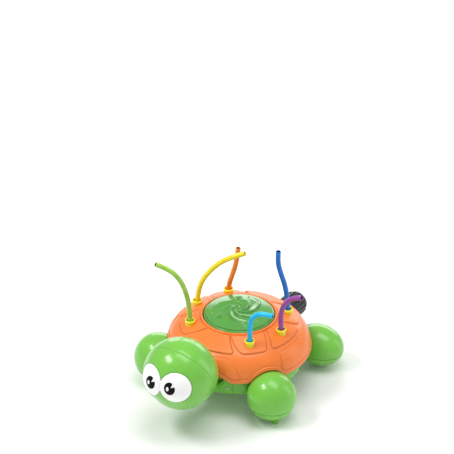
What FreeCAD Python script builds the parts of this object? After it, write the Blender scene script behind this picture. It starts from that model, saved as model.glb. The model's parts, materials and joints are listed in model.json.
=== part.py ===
import FreeCAD, Part
import math
import os
import re

import Sketcher

# Turtle lawn sprinkler, in millimetres.
#
# +Z is up and the head looks along -Y. The origin is on the floor, under the middle of the
# box round the rigid parts. The rotor's axis stands at x = 0, y = AXIS_Y, and every sub-part
# is drawn about that axis, then shifted by AXIS_Y in its Placement.

DOC = FreeCAD.newDocument("turtle_sprinkler")
SHEET = DOC.addObject("Spreadsheet::Sheet", "Sizes")

SIZES = [
    ("foot_clearance", 1.5, "ball feet above the floor, standing on their pads"),
    ("shell_radius", 90.0, "outside radius of the shell at its lower edge"),
    ("shell_wall", 2.2, "shell wall"),
    ("shell_edge", 50.0, "height of the shell's lower edge"),
    ("roof_wall", 2.38, "shell wall under the sloping roof, measured upright"),
    ("shoulder_height", 76.6, "height where the roof line meets the wall line"),
    ("shoulder_round", 34.0, "rounding between roof and wall"),
    ("crown_height", 94.9, "height of the roof at the rotor well"),
    ("well_radius", 45.5, "inside radius of the rotor well"),
    ("well_floor", 82.0, "underside of the well's floor"),
    ("lip_height", 1.6, "well lip above the roof"),
    ("lip_width", 3.0, "well lip width"),
    ("lip_root", 3.0, "depth of the lip's foot in the roof"),
    ("arch_gap", 6.7, "gap between a front foot and the shell's arch over it"),
    ("rear_arch_gap", 7.0, "gap between a rear foot and the shell's arch over it"),
    ("notch_gap", 3.5, "gap round the water inlet in the shell's edge"),
    ("neck_arch_radius", 63.2, "arch in the shell's edge over the neck"),
    ("neck_arch_height", 1.3, "middle of the arch over the neck"),
    ("hub_gap", 2.0, "gap between the rotor's hub and the hole in the well's floor"),
    ("post_radius", 4.0, "screw posts between tray and shell"),
    ("post_inset", 13.0, "screw posts inward from the shell's edge"),
    ("rotor_radius", 44.5, "spinning disc"),
    ("rotor_rim", 98.0, "height of the disc's rim"),
    ("rotor_rise", 5.0, "rise of the domed disc at its centre"),
    ("rotor_wall", 2.0, "disc wall"),
    ("rotor_foot", 86.5, "lower edge of the disc's rim"),
    ("vane_height", 1.2, "spiral vanes above the dome"),
    ("vane_root", 5.0, "depth of a vane's foot under the disc's rim"),
    ("vane_radius", 15.0, "outer curve of a vane"),
    ("vane_circle", 15.0, "middle of a vane's outer curve, from the axis"),
    ("vane_bite_radius", 12.6, "inner curve of a vane"),
    ("vane_bite_circle", 16.5, "middle of a vane's inner curve, from the axis"),
    ("nozzle_circle", 28.0, "radius of the nozzle circle on the disc"),
    ("nozzle_radius", 2.5, "nozzle insert"),
    ("nozzle_bore", 0.9, "bore of a nozzle"),
    ("nozzle_length", 8.0, "nozzle insert"),
    ("nozzle_root", 4.0, "lower end of a nozzle under the disc's rim"),
    ("nozzle_boss_radius", 4.5, "boss round a nozzle"),
    ("nozzle_boss_rise", 3.0, "boss round a nozzle, above the disc's rim"),
    ("nozzle_boss_root", 7.0, "boss round a nozzle, below the disc's rim"),
    ("spindle_radius", 4.0, "hollow spindle"),
    ("spindle_bore", 1.8, "bore of the spindle"),
    ("spindle_top", 96.0, "top of the spindle"),
    ("spindle_foot", 67.0, "lower end of the spindle"),
    ("flange_radius", 8.0, "flange on the spindle"),
    ("flange_height", 1.5, "flange on the spindle"),
    ("clip_depth", 0.7, "groove for the clip"),
    ("clip_groove", 1.0, "width of the groove for the clip"),
    ("clip_height", 0.8, "clip"),
    ("clip_gap", 0.4, "end play between the bush and the clip's groove"),
    ("washer_height", 0.8, "washer under the bush"),
    ("bush_clearance", 0.3, "end play between the washer and the bush"),
    ("running_gap", 0.05, "radial gap of a running fit"),
    ("bush_radius", 7.0, "outside of the rotor's bush"),
    ("hub_radius", 10.0, "outside of the rotor's hub"),
    ("hub_top", 92.0, "top of the rotor's hub and bush"),
    ("hub_lift", 0.4, "lower end of the hub above the bush's"),
    ("plate_height", 2.0, "plate under the disc"),
    ("tank_radius", 70.0, "water chamber under the shell"),
    ("tank_floor", 56.0, "underside of the water chamber"),
    ("tank_split", 66.0, "top of the chamber's lower half"),
    ("tank_wall", 2.5, "chamber wall"),
    ("gasket_height", 1.2, "gasket between the chamber's halves"),
    ("lid_height", 3.0, "plate of the chamber's upper half"),
    ("tank_screw_radius", 1.2, "chamber screws"),
    ("tank_screw_grip", 7.0, "length of a chamber screw in its boss"),
    ("tank_screw_gap", 0.4, "gap round a chamber screw in the upper half"),
    ("tank_screw_inset", 6.0, "chamber screws inward from the chamber's side"),
    ("tank_head_radius", 2.6, "heads of the chamber screws"),
    ("tank_head_height", 1.8, "heads of the chamber screws"),
    ("tank_boss_radius", 3.6, "bosses for the chamber screws"),
    ("tank_boss_gap", 1.0, "bosses above the chamber's underside"),
    ("centre_riser_radius", 9.0, "riser under the spindle"),
    ("riser_height", 80.0, "top of the chamber's risers"),
    ("riser_radius", 5.8, "risers under the spray sockets"),
    ("riser_bore", 3.0, "bore of the risers under the spray sockets"),
    ("socket_circle", 62.5, "radius of the circle of spray sockets"),
    ("socket_radius", 6.2, "outside of a spray socket's cup"),
    ("socket_bore", 4.8, "inside of a spray socket's cup"),
    ("socket_top", 95.5, "height of the cups' rims"),
    ("socket_rim", 3.0, "height of a cup's rim band"),
    ("socket_stem", 4.0, "length of a cup's stem in its riser"),
    ("socket_stem_bore", 1.6, "bore of a cup's stem"),
    ("tube_radius", 3.2, "flexible spray tube"),
    ("tube_seat", 92.0, "height of the tubes' ball ends"),
    ("tray_radius", 85.0, "base tray"),
    ("tray_floor", 34.0, "underside of the base tray"),
    ("tray_top", 54.0, "top edge of the base tray"),
    ("tray_wall", 2.2, "base tray wall"),
    ("tray_bevel", 4.5, "bevel round the tray's underside"),
    ("tray_gap", 2.5, "gap between a foot and the tray"),
    ("front_foot_radius", 31.2, "front ball feet"),
    ("front_foot_tuck", 20.8, "front foot inside the shell's wall"),
    ("front_foot_turn", 33.2, "front feet, degrees ahead of the side"),
    ("rear_foot_length", 33.7, "rear feet, half size sideways"),
    ("rear_foot_rise", 26.1, "rear feet, half size fore and aft, and upward"),
    ("rear_foot_tuck", 9.5, "rear foot inside the shell's wall"),
    ("rear_foot_turn", 52.43, "rear feet, degrees behind the side"),
    ("foot_wall", 2.4, "foot wall"),
    ("foot_seam", 21.5, "height of the seam round the feet"),
    ("pad_radius", 3.5, "foot pads"),
    ("pad_offset", 12.0, "foot pads, outward from the middle of the foot"),
    ("pad_root", 3.5, "foot pads, let into the foot above its lowest point"),
    ("leg_radius", 7.0, "legs from the tray into the feet"),
    ("leg_height", 42.0, "height of the legs' axes"),
    ("leg_step", 1.0, "foot post at a leg's end, narrower than the leg"),
    ("leg_foot", 25.5, "lower end of the posts at the legs' ends"),
    ("head_radius", 45.6, "ball head"),
    ("head_tuck", 0.6, "rear of the head, inward of the shell's edge"),
    ("head_underside", 34.5, "lowest point of the head"),
    ("head_wall", 2.6, "head wall"),
    ("head_lean", 64.35, "lean of the seam between face and crown"),
    ("head_seam", 4.1, "seam behind the middle of the head"),
    ("eye_radius", 20.0, "rim of an eye"),
    ("eye_bulge", 3.5, "middle of an eye above the head"),
    ("eye_turn", 25.5, "eyes out to the side"),
    ("eye_lift", 6.6, "eyes above level"),
    ("eye_depth", 1.2, "recess of the eyes in the face"),
    ("pupil_radius", 7.6, "pupil"),
    ("pupil_turn", 17.0, "pupils out to the side"),
    ("pupil_lift", 7.5, "pupils above level"),
    ("pupil_rise", 0.3, "pupils above the eyes"),
    ("pupil_depth", 0.7, "pupils let into the eyes"),
    ("neck_width", 50.0, "neck"),
    ("neck_height", 10.0, "neck thickness"),
    ("neck_base", 37.0, "underside of the neck"),
    ("neck_short", 21.0, "front end of the neck, behind the head's middle"),
    ("neck_grip", 12.0, "neck inside the tray"),
    ("inlet_height", 42.5, "height of the water inlet's axis"),
    ("inlet_radius", 8.5, "inlet stem"),
    ("pipe_radius", 6.0, "pipe inside the body"),
    ("pipe_bore", 4.0, "bore of the pipe and the stem"),
    ("pipe_inset", 14.0, "upright pipe inward from the chamber's side"),
    ("stem_gap", 1.0, "stem behind the tray's wall"),
    ("stem_step_radius", 11.0, "shoulder of the stem at the tray"),
    ("stem_step_length", 4.0, "shoulder of the stem at the tray"),
    ("stem_lip_radius", 12.0, "lip of the stem inside the collar, and the hose washer"),
    ("stem_lip_length", 2.7, "lip of the stem inside the collar"),
    ("stem_mouth_radius", 6.5, "seat of the filter in the stem"),
    ("stem_mouth_depth", 3.0, "seat of the filter in the stem"),
    ("seal_bore", 7.0, "hose washer"),
    ("seal_height", 2.6, "hose washer"),
    ("filter_height", 2.5, "filter cup"),
    ("filter_wall", 1.0, "filter cup's floor"),
    ("filter_skirt", 1.2, "filter cup's side"),
    ("collar_radius", 16.0, "swivel collar over its ribs"),
    ("collar_stand", 17.0, "front end of the swivel collar, behind the shell's edge"),
    ("collar_length", 30.0, "swivel collar"),
    ("collar_base", 3.0, "end wall of the swivel collar"),
    ("collar_play", 0.3, "end play between the collar and the stem's lip"),
    ("collar_bevel", 1.0, "bevel of the collar's open end"),
    ("collar_relief", 0.5, "groove behind the hose thread"),
    ("rib_rise", 1.6, "grip ribs above the collar"),
    ("rib_radius", 1.9, "grip ribs"),
    ("rib_start", 2.0, "grip ribs, from the collar's front end"),
    ("rib_end", 3.0, "grip ribs, from the collar's open end"),
    ("thread_radius", 12.7, "hose thread, as a plain bore"),
    ("thread_length", 16.0, "hose thread"),
    ("screw_radius", 1.5, "self-tapping screws"),
    ("screw_head_radius", 2.8, "heads of the self-tapping screws"),
    ("screw_head_height", 1.5, "heads of the self-tapping screws"),
    ("foot_screw_sink", 3.5, "heads of the foot screws above the foot's underside"),
    ("foot_screw_grip", 10.0, "end of the foot screws above the seam"),
    ("case_screw_length", 27.0, "screws between tray and shell"),
    ("press_gap", 0.1, "gap round a part that is set in another"),
]

SIDES = (("left", 1), ("right", -1))
SOCKETS = [
    ("purple", 0),
    ("blue", 45),
    ("orange", 135),
    ("yellow", 180),
    ("green", 225),
    ("cyan", 315),
]
# Each spray tube bends in one upright plane: its heading in degrees, then the points of its
# route as (reach from the socket's axis, height above the ball end).
ROUTES = {
    "purple": (0, [(0, 0), (-0.6, 15), (0.4, 30), (6.5, 45), (17.5, 54.5), (30.2, 59)]),
    "blue": (213, [(0, 0), (0.8, 20), (3.8, 39), (9.8, 58), (12.9, 73), (12.0, 87.4)]),
    "orange": (35, [(0, 0), (0.6, 10), (5.6, 25.5), (10.4, 43.5), (12.2, 62.3)]),
    "yellow": (25.5, [(0, 0), (1.6, 18), (8, 36), (20, 52), (36, 66.5), (60.3, 76.5)]),
    "green": (225, [(0, 0), (0.8, 21), (4.6, 43), (12.5, 64), (26, 81), (43.6, 90.5)]),
    "cyan": (10, [(0, 0), (0.8, 13), (0.4, 26), (3.2, 37.5), (12, 45), (22, 46.8), (31, 46.2)]),
}

FEET = [
    ("front_left", 1, -1),
    ("front_right", -1, -1),
    ("rear_left", 1, 1),
    ("rear_right", -1, 1),
]
POST_ANGLES = (68, 112, 248, 292)
CHAMBER_ANGLES = (23, 67, 113, 157, 203, 247, 293, 337)
NOZZLE_ANGLES = (-116, 4, 124)
RIBS = 18

SLOPE = "((crown_height - shoulder_height) / (shell_radius - well_radius))"
PIPE_Y = "(tank_radius - pipe_inset)"
COLLAR_FRONT = "(shell_radius + collar_stand)"
REAR = "(%s + collar_length)" % COLLAR_FRONT
HEAD_Y = "(shell_radius + head_radius - head_tuck)"
HEAD_HEIGHT = "(head_underside + head_radius)"
NECK_FRONT = "(%s - neck_short)" % HEAD_Y
# An eye's lens is part of a ball of radius SWELL, whose middle is EYE_BACK in front of the head's.
EYE_CROWN = "(eye_bulge + head_radius - sqrt(head_radius ^ 2 - eye_radius ^ 2))"
SWELL = "((eye_radius ^ 2 + %s ^ 2) / (2 * %s))" % (EYE_CROWN, EYE_CROWN)
EYE_BACK = "(head_radius + eye_bulge - %s)" % SWELL
FRONT = "(%s + %s * cos(eye_turn) * cos(eye_lift) + %s + pupil_rise)" % (HEAD_Y, EYE_BACK, SWELL)
AXIS_Y = "(%s - %s) / 2" % (FRONT, REAR)
TOP = "200"
# A leg starts this share of the way from the axis to its foot.
LEG_START = 0.5
LATHE_OUT = FreeCAD.Rotation(FreeCAD.Vector(1, 0, 0), -90)
PIECES = {}


def fill_sheet():
    """Writes every driving dimension and its alias."""
    for row, (alias, size, note) in enumerate(SIZES, 1):
        SHEET.set("A%d" % row, alias)
        SHEET.set("B%d" % row, str(size))
        SHEET.setAlias("B%d" % row, alias)
        SHEET.set("C%d" % row, note)
    DOC.recompute()


def bound(text):
    """The expression with each alias pointed at the sheet."""
    return re.sub(r"[a-z]+(_[a-z]+)+", r"Sizes.\g<0>", str(text))


def number(text):
    """The value of an expression at the present sizes."""
    return float(SHEET.evalExpression(bound(text)))


def put(item, place=("0", "0", "0"), turn=None):
    """Binds an object's place, and turns it if asked."""
    if turn is not None:
        item.Placement = FreeCAD.Placement(item.Placement.Base, turn)
    for axis, text in zip("xyz", place):
        item.setExpression("Placement.Base." + axis, bound(text))
    return item


def primitive(kind, sizes, place, turn=None):
    """A Part primitive whose sizes follow the sheet."""
    item = DOC.addObject("Part::" + kind, kind)
    for name, text in sizes.items():
        item.setExpression(name, bound(text))
    return put(item, place, turn)


def rod(radius, height, place=("0", "0", "0"), turn=None):
    """A round rod along its own Z."""
    return primitive("Cylinder", {"Radius": radius, "Height": height}, place, turn)


def ball(radius, place):
    """A whole ball."""
    return primitive("Sphere", {"Radius": radius}, place)


def block(length, width, height, place, turn=None):
    """A box whose place is its low corner."""
    sizes = {"Length": length, "Width": width, "Height": height}
    return primitive("Box", sizes, place, turn)


def fuse(items):
    """One solid from several."""
    if len(items) == 1:
        return items[0]
    item = DOC.addObject("Part::MultiFuse", "Fuse")
    item.Shapes = items
    return item


def cut(base, tools):
    """The base without the tools."""
    item = DOC.addObject("Part::Cut", "Cut")
    item.Base = base
    item.Tool = fuse(tools)
    return item


def common(base, tool):
    """What two solids share."""
    item = DOC.addObject("Part::Common", "Common")
    item.Base = base
    item.Tool = tool
    return item


def group(items):
    """Separate solids kept in one sub-part."""
    item = DOC.addObject("Part::Compound", "Group")
    item.Links = items
    return item


def piece(label, item, y="0"):
    """Names a finished sub-part and shifts it to the rotor's axis."""
    item.Label = label
    item.setExpression("Placement.Base.y", bound("%s + (%s)" % (AXIS_Y, y)))
    PIECES[label] = item
    return item


def origin_plane(body, role):
    """One of a body's own origin planes."""
    return [item for item in body.Origin.OriginFeatures if item.Role == role][0]


def outline(body, name, corners, role="XZ_Plane"):
    """A closed outline whose corners follow the sheet, as (across, up) pairs of expressions.

    A third expression in a corner is the radius of an arc that leads anticlockwise to the next.
    """
    sketch = body.newObject("Sketcher::SketchObject", name)
    sketch.AttachmentSupport = (origin_plane(body, role), "")
    sketch.MapMode = "FlatFace"
    spots = [FreeCAD.Vector(number(corner[0]), number(corner[1]), 0) for corner in corners]
    count = len(spots)
    for index, corner in enumerate(corners):
        start = spots[index]
        end = spots[(index + 1) % count]
        if len(corner) == 2:
            sketch.addGeometry(Part.LineSegment(start, end), False)
            continue
        radius = number(corner[2])
        chord = end.sub(start)
        across = FreeCAD.Vector(-chord.y, chord.x, 0).normalize()
        bulge = radius - math.sqrt(radius ** 2 - chord.Length ** 2 / 4)
        crest = start.add(end).multiply(0.5).sub(across.multiply(bulge))
        sketch.addGeometry(Part.Arc(start, crest, end), False)
    for index in range(count):
        joined = Sketcher.Constraint("Coincident", index, 2, (index + 1) % count, 1)
        sketch.addConstraint(joined)
    for index, corner in enumerate(corners):
        rules = [("DistanceX", corner[0], spots[index].x), ("DistanceY", corner[1], spots[index].y)]
        for kind, text, value in rules:
            rule = sketch.addConstraint(Sketcher.Constraint(kind, -1, 1, index, 1, value))
            sketch.setExpression("Constraints[%d]" % rule, bound(text))
        if len(corner) == 3:
            rule = sketch.addConstraint(Sketcher.Constraint("Radius", index, number(corner[2])))
            sketch.setExpression("Constraints[%d]" % rule, bound(corner[2]))
    return sketch


def lathe(name, corners):
    """A turned solid: an outline of (radius, height) corners swept round Z."""
    body = DOC.addObject("PartDesign::Body", name)
    sketch = outline(body, name + "_outline", corners)
    turned = body.newObject("PartDesign::Revolution", name + "_turned")
    turned.Profile = sketch
    turned.ReferenceAxis = (sketch, ["V_Axis"])
    turned.Angle = 360
    sketch.Visibility = False
    DOC.recompute()
    return body


def ring_spot(circle, degrees):
    """The place on a circle round the rotor's axis, as expressions."""
    return "(%s) * cos(%s)" % (circle, degrees), "(%s) * sin(%s)" % (circle, degrees)


def dome(name, inset, drop, edge):
    """The shell's filled outline, or its hollow when inset and dropped by the wall."""
    wall = "(shell_radius - %s)" % inset
    corner = "(shoulder_height + %s * %s - %s)" % (SLOPE, inset, drop)
    rounding = "(shoulder_round - %s)" % inset
    cosine = "(1 / sqrt(1 + %s ^ 2))" % SLOPE
    sine = "(%s * %s)" % (SLOPE, cosine)
    reach = "(%s * (1 - %s) / %s)" % (rounding, sine, cosine)
    return lathe(name, [
        ("0", edge),
        (wall, edge),
        (wall, "%s - %s" % (corner, reach), rounding),
        ("%s - %s * %s" % (wall, reach, cosine), "%s + %s * %s" % (corner, reach, sine)),
        ("well_radius", "crown_height - " + drop),
        ("0", "crown_height - " + drop),
    ])


def foot_spot(side, end):
    """A foot's middle."""
    row = "front" if end < 0 else "rear"
    half = "front_foot_radius" if end < 0 else "rear_foot_rise"
    reach = "(shell_radius + %s - %s_foot_tuck)" % (half, row)
    across = "%d * %s * cos(%s_foot_turn)" % (side, reach, row)
    along = "%d * %s * sin(%s_foot_turn)" % (end, reach, row)
    return across, along, half + " + foot_clearance"


def foot_ball(side, end, grow):
    """A foot's ball, grown all round."""
    spot = foot_spot(side, end)
    if end < 0:
        return ball("front_foot_radius + " + grow, spot)
    radius = "(rear_foot_rise + %s)" % grow
    half = "(rear_foot_length - rear_foot_rise)"
    body = lathe("rear_foot_ball", [
        ("0", "-%s - %s" % (half, radius), radius),
        (radius, "-" + half),
        (radius, half, radius),
        ("0", "%s + %s" % (half, radius)),
    ])
    return put(body, spot, FreeCAD.Rotation(FreeCAD.Vector(0, 1, 0), 90))


def shell_cover():
    """The orange shell: roof, lip, rotor well, screw posts, arches and socket holes."""
    hollow = dome("dome_inside", "shell_wall", "roof_wall", "shell_edge - 1")
    posts = [rod("post_radius", TOP, screw_spot(angle) + ("tray_top",)) for angle in POST_ANGLES]
    well = rod("well_radius + shell_wall", TOP, ("0", "0", "well_floor"))
    cavity = cut(hollow, posts + [well])
    lip_foot = ("0", "0", "crown_height - lip_root")
    lip = rod("well_radius + lip_width", "lip_height + lip_root", lip_foot)
    solid = fuse([dome("dome_outside", "0", "0", "shell_edge"), lip])
    tools = [cavity]
    tools.append(rod("well_radius", TOP, ("0", "0", "well_floor + shell_wall")))
    tools.append(rod("hub_radius + hub_gap", TOP))
    for name, angle in SOCKETS:
        spot = ring_spot("socket_circle", angle) + ("shell_edge",)
        tools.append(rod("riser_radius + press_gap", TOP, spot))
    for name, side, end in FEET:
        tools.append(foot_ball(side, end, "arch_gap" if end < 0 else "rear_arch_gap"))
    tools.append(rod("inlet_radius + notch_gap", TOP, ("0", PIPE_Y, "inlet_height"), LATHE_OUT))
    arch = ("0", "-" + TOP, "neck_arch_height")
    tools.append(rod("neck_arch_radius", TOP + " - shell_radius + post_inset", arch, LATHE_OUT))
    for angle in POST_ANGLES:
        pilot = "tray_floor + screw_head_height + case_screw_length - tray_top"
        tools.append(rod("screw_radius", pilot, screw_spot(angle) + ("tray_top",)))
    return piece("shell_cover", cut(solid, tools))


def screw_spot(angle):
    """Where a screw post stands, inside the shell's wall."""
    return ring_spot("shell_radius - post_inset", angle)


def base_tray():
    """The green tray: bowl, screw posts and four legs that run into the feet."""
    bowl = lathe("tray_outside", [
        ("0", "tray_floor"),
        ("tray_radius - tray_bevel", "tray_floor"),
        ("tray_radius", "tray_floor + tray_bevel"),
        ("tray_radius", "tray_top"),
        ("0", "tray_top"),
    ])
    hollow = lathe("tray_inside", [
        ("0", "tray_floor + tray_wall"),
        ("tray_radius - tray_wall - tray_bevel", "tray_floor + tray_wall"),
        ("tray_radius - tray_wall", "tray_floor + tray_wall + tray_bevel"),
        ("tray_radius - tray_wall", "tray_top + 1"),
        ("0", "tray_top + 1"),
    ])
    posts = []
    holes = []
    for angle in POST_ANGLES:
        spot = screw_spot(angle)
        posts.append(rod("post_radius", "tray_top - tray_floor", spot + ("tray_floor",)))
        holes.append(rod("screw_radius + press_gap", TOP, spot + ("tray_floor - 1",)))
        seat = "screw_head_height + 1"
        holes.append(rod("screw_head_radius + press_gap", seat, spot + ("tray_floor - 1",)))
    tools = [cut(hollow, posts)] + holes
    for name, side, end in FEET:
        tools.append(foot_ball(side, end, "tray_gap"))
    tools.append(rod("pipe_radius + press_gap", TOP, ("0", PIPE_Y, "inlet_height"), LATHE_OUT))
    tools.append(neck_block("press_gap"))
    legs = [leg(side, end) for name, side, end in FEET]
    return piece("base_tray", fuse([cut(bowl, tools)] + legs))


def leg(side, end):
    """A leg from the tray's wall to the middle of a foot, with a screw hole in its end."""
    across, along = foot_spot(side, end)[:2]
    away = FreeCAD.Vector(number(across), number(along), 0)
    turn = FreeCAD.Rotation(FreeCAD.Vector(0, 0, 1), away)
    length = "sqrt((%s) ^ 2 + (%s) ^ 2) * %g" % (across, along, 1 - LEG_START)
    spot = ("(%s) * %g" % (across, LEG_START), "(%s) * %g" % (along, LEG_START), "leg_height")
    arm = rod("leg_radius", length, spot, turn)
    cap = rod("leg_radius - leg_step", "leg_height - foot_seam", (across, along, "leg_foot"))
    hole = rod("screw_radius", "leg_height - foot_seam", (across, along, "foot_seam"))
    return cut(fuse([arm, cap]), [hole])


def foot_pieces():
    """Four ball feet: an upper shell over the leg, a lower cap, a pad and a screw."""
    pads = []
    screws = []
    for name, side, end in FEET:
        across, along = foot_spot(side, end)[:2]
        skin = cut(foot_ball(side, end, "0"), [foot_ball(side, end, "0 - foot_wall")])
        corner = ("%s - %s / 2" % (across, TOP), "%s - %s / 2" % (along, TOP))
        above = block(TOP, TOP, TOP, corner + ("foot_seam",))
        inward = FreeCAD.Vector(-number(across), -number(along), 0)
        turn = FreeCAD.Rotation(FreeCAD.Vector(0, 0, 1), inward)
        window = rod("leg_radius + press_gap", TOP, (across, along, "leg_height"), turn)
        piece("foot_upper_" + name, cut(common(skin, above), [window]))
        below = block(TOP, TOP, TOP, corner + ("foot_seam - " + TOP,))
        whole = foot_ball(side, end, "0")
        core = cut(foot_ball(side, end, "0"), [foot_ball(side, end, "0 - foot_wall")])
        stand = (across, along, "foot_clearance")
        post = rod("leg_radius - 2 * leg_step", "leg_foot - foot_clearance", stand)
        lower = fuse([common(core, below), common(post, whole)])
        reach = "sqrt((%s) ^ 2 + (%s) ^ 2)" % (across, along)
        pad_x = "(%s) * (1 + pad_offset / %s)" % (across, reach)
        pad_y = "(%s) * (1 + pad_offset / %s)" % (along, reach)
        pad_size = ("pad_radius", "foot_clearance + pad_root", (pad_x, pad_y, "0"))
        seat = "screw_head_height + foot_screw_sink + 1"
        tools = [
            rod(*pad_size),
            rod("screw_radius + press_gap", TOP, (across, along, "0")),
            rod("screw_head_radius + 2 * press_gap", seat, (across, along, "foot_clearance - 1")),
        ]
        piece("foot_lower_" + name, cut(lower, tools))
        pads.append(rod(*pad_size))
        base = "foot_clearance + foot_screw_sink"
        length = "foot_seam + foot_screw_grip - (%s)" % base
        shank = rod("screw_radius", length, (across, along, base))
        button = rod("screw_head_radius", "screw_head_height", (across, along, base))
        screws.append(fuse([shank, button]))
    piece("foot_pads", group(pads))
    piece("foot_screws", group(screws))


def water_chamber():
    """The chamber that feeds the spindle and the six sockets: two halves, gasket, screws."""
    inside = "tank_radius - tank_wall"
    lower = cut(
        rod("tank_radius", "tank_split - tank_floor", ("0", "0", "tank_floor")),
        [rod(inside, TOP, ("0", "0", "tank_floor + tank_wall"))],
    )
    bosses = []
    holes = [rod("pipe_bore", "tank_wall + 2", ("0", PIPE_Y, "tank_floor - 1"))]
    for angle in CHAMBER_ANGLES:
        spot = chamber_screw(angle)
        rise = "tank_split - tank_floor - tank_boss_gap"
        bosses.append(rod("tank_boss_radius", rise, spot + ("tank_floor + tank_boss_gap",)))
        holes.append(rod("tank_screw_radius", TOP, spot + ("tank_split - tank_screw_grip",)))
    lower = cut(fuse([lower] + bosses), holes)
    piece("chamber_lower", lower)
    gasket = cut(
        rod("tank_radius", "gasket_height", ("0", "0", "tank_split")),
        [rod(inside, TOP, ("0", "0", "tank_floor"))],
    )
    piece("chamber_gasket", gasket)
    base = "tank_split + gasket_height"
    height = "riser_height - tank_split - gasket_height"
    solids = [
        rod("tank_radius", "lid_height", ("0", "0", base)),
        rod("centre_riser_radius", height, ("0", "0", base)),
    ]
    tools = [rod("spindle_radius", TOP, ("0", "0", "tank_floor"))]
    for name, angle in SOCKETS:
        spot = ring_spot("socket_circle", angle)
        solids.append(rod("riser_radius", height, spot + (base,)))
        tools.append(rod("riser_bore", TOP, spot + ("tank_floor",)))
    screws = []
    for angle in CHAMBER_ANGLES:
        spot = chamber_screw(angle)
        tools.append(rod("tank_screw_radius + tank_screw_gap", TOP, spot + ("tank_split",)))
        length = "tank_screw_grip + lid_height"
        shank = rod("tank_screw_radius", length, spot + (base + " - tank_screw_grip",))
        button = rod("tank_head_radius", "tank_head_height", spot + (base + " + lid_height",))
        screws.append(fuse([shank, button]))
    piece("chamber_upper", cut(fuse(solids), tools))
    piece("chamber_screws", group(screws))


def chamber_screw(angle):
    """Where a chamber screw stands, inside the rim."""
    return ring_spot("tank_radius - tank_screw_inset", angle)


def rotor():
    """The spinning disc with its base, bush, nozzles, and the fixed spindle, clip and washer."""
    sphere = "((rotor_radius ^ 2 + rotor_rise ^ 2) / (2 * rotor_rise))"
    middle = ("0", "0", "rotor_rim + rotor_rise - %s" % sphere)
    disc = common(
        rod("rotor_radius", "rotor_rim + rotor_rise - rotor_foot", ("0", "0", "rotor_foot")),
        ball(sphere, middle),
    )
    raised = [disc]
    for angle in NOZZLE_ANGLES:
        spot = ring_spot("nozzle_circle", angle) + ("rotor_rim - nozzle_boss_root",)
        raised.append(rod("nozzle_boss_radius", "nozzle_boss_root + nozzle_boss_rise", spot))
        bend = ring_spot("vane_circle", angle + 76) + ("rotor_rim - vane_root",)
        bite = ring_spot("vane_bite_circle", angle + 91) + ("0",)
        vane = cut(rod("vane_radius", "2 * vane_root", bend), [rod("vane_bite_radius", TOP, bite)])
        raised.append(common(vane, ball(sphere + " + vane_height", middle)))
    hollow = common(
        rod("rotor_radius - rotor_wall", TOP, ("0", "0", "rotor_foot - 1")),
        ball("%s - rotor_wall" % sphere, middle),
    )
    holes = [hollow]
    nozzles = []
    for angle in NOZZLE_ANGLES:
        spot = ring_spot("nozzle_circle", angle)
        holes.append(rod("nozzle_radius", "2 * nozzle_length", spot + ("rotor_rim - rotor_wall",)))
        low = spot + ("rotor_rim - nozzle_root",)
        nozzles.append(cut(rod("nozzle_radius", "nozzle_length", low), [rod("nozzle_bore", TOP, low)]))
    piece("rotor_cover", cut(fuse(raised), holes))
    piece("rotor_nozzles", group(nozzles))
    seat = "riser_height + flange_height"
    bush_foot = seat + " + washer_height + bush_clearance"
    plate = lathe("rotor_plate", [
        ("bush_radius", bush_foot + " + hub_lift"),
        ("hub_radius", bush_foot + " + hub_lift"),
        ("hub_radius", "rotor_foot"),
        ("rotor_radius - rotor_wall - press_gap", "rotor_foot"),
        ("rotor_radius - rotor_wall - press_gap", "rotor_foot + plate_height"),
        ("hub_radius", "rotor_foot + plate_height"),
        ("hub_radius", "hub_top"),
        ("bush_radius", "hub_top"),
    ])
    piece("rotor_base", plate)
    bush = lathe("rotor_bearing", [
        ("spindle_radius + running_gap", bush_foot),
        ("bush_radius", bush_foot),
        ("bush_radius", "hub_top"),
        ("spindle_radius + running_gap", "hub_top"),
    ])
    piece("rotor_bush", bush)
    groove = "hub_top + clip_gap"
    spindle = lathe("spindle_tube", [
        ("spindle_bore", "spindle_foot"),
        ("spindle_radius", "spindle_foot"),
        ("spindle_radius", "riser_height"),
        ("flange_radius", "riser_height"),
        ("flange_radius", seat),
        ("spindle_radius", seat),
        ("spindle_radius", groove),
        ("spindle_radius - clip_depth", groove),
        ("spindle_radius - clip_depth", groove + " + clip_groove"),
        ("spindle_radius", groove + " + clip_groove"),
        ("spindle_radius", "spindle_top"),
        ("spindle_bore", "spindle_top"),
    ])
    piece("spindle", spindle)
    low = groove + " + (clip_groove - clip_height) / 2"
    clip = lathe("spindle_clip_ring", [
        ("spindle_radius - clip_depth + press_gap", low),
        ("bush_radius + 5 * press_gap", low),
        ("bush_radius + 5 * press_gap", low + " + clip_height"),
        ("spindle_radius - clip_depth + press_gap", low + " + clip_height"),
    ])
    piece("spindle_clip", clip)
    washer = lathe("spindle_washer_ring", [
        ("spindle_radius + press_gap", seat),
        ("bush_radius", seat),
        ("bush_radius", seat + " + washer_height"),
        ("spindle_radius + press_gap", seat + " + washer_height"),
    ])
    piece("spindle_washer", washer)


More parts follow.
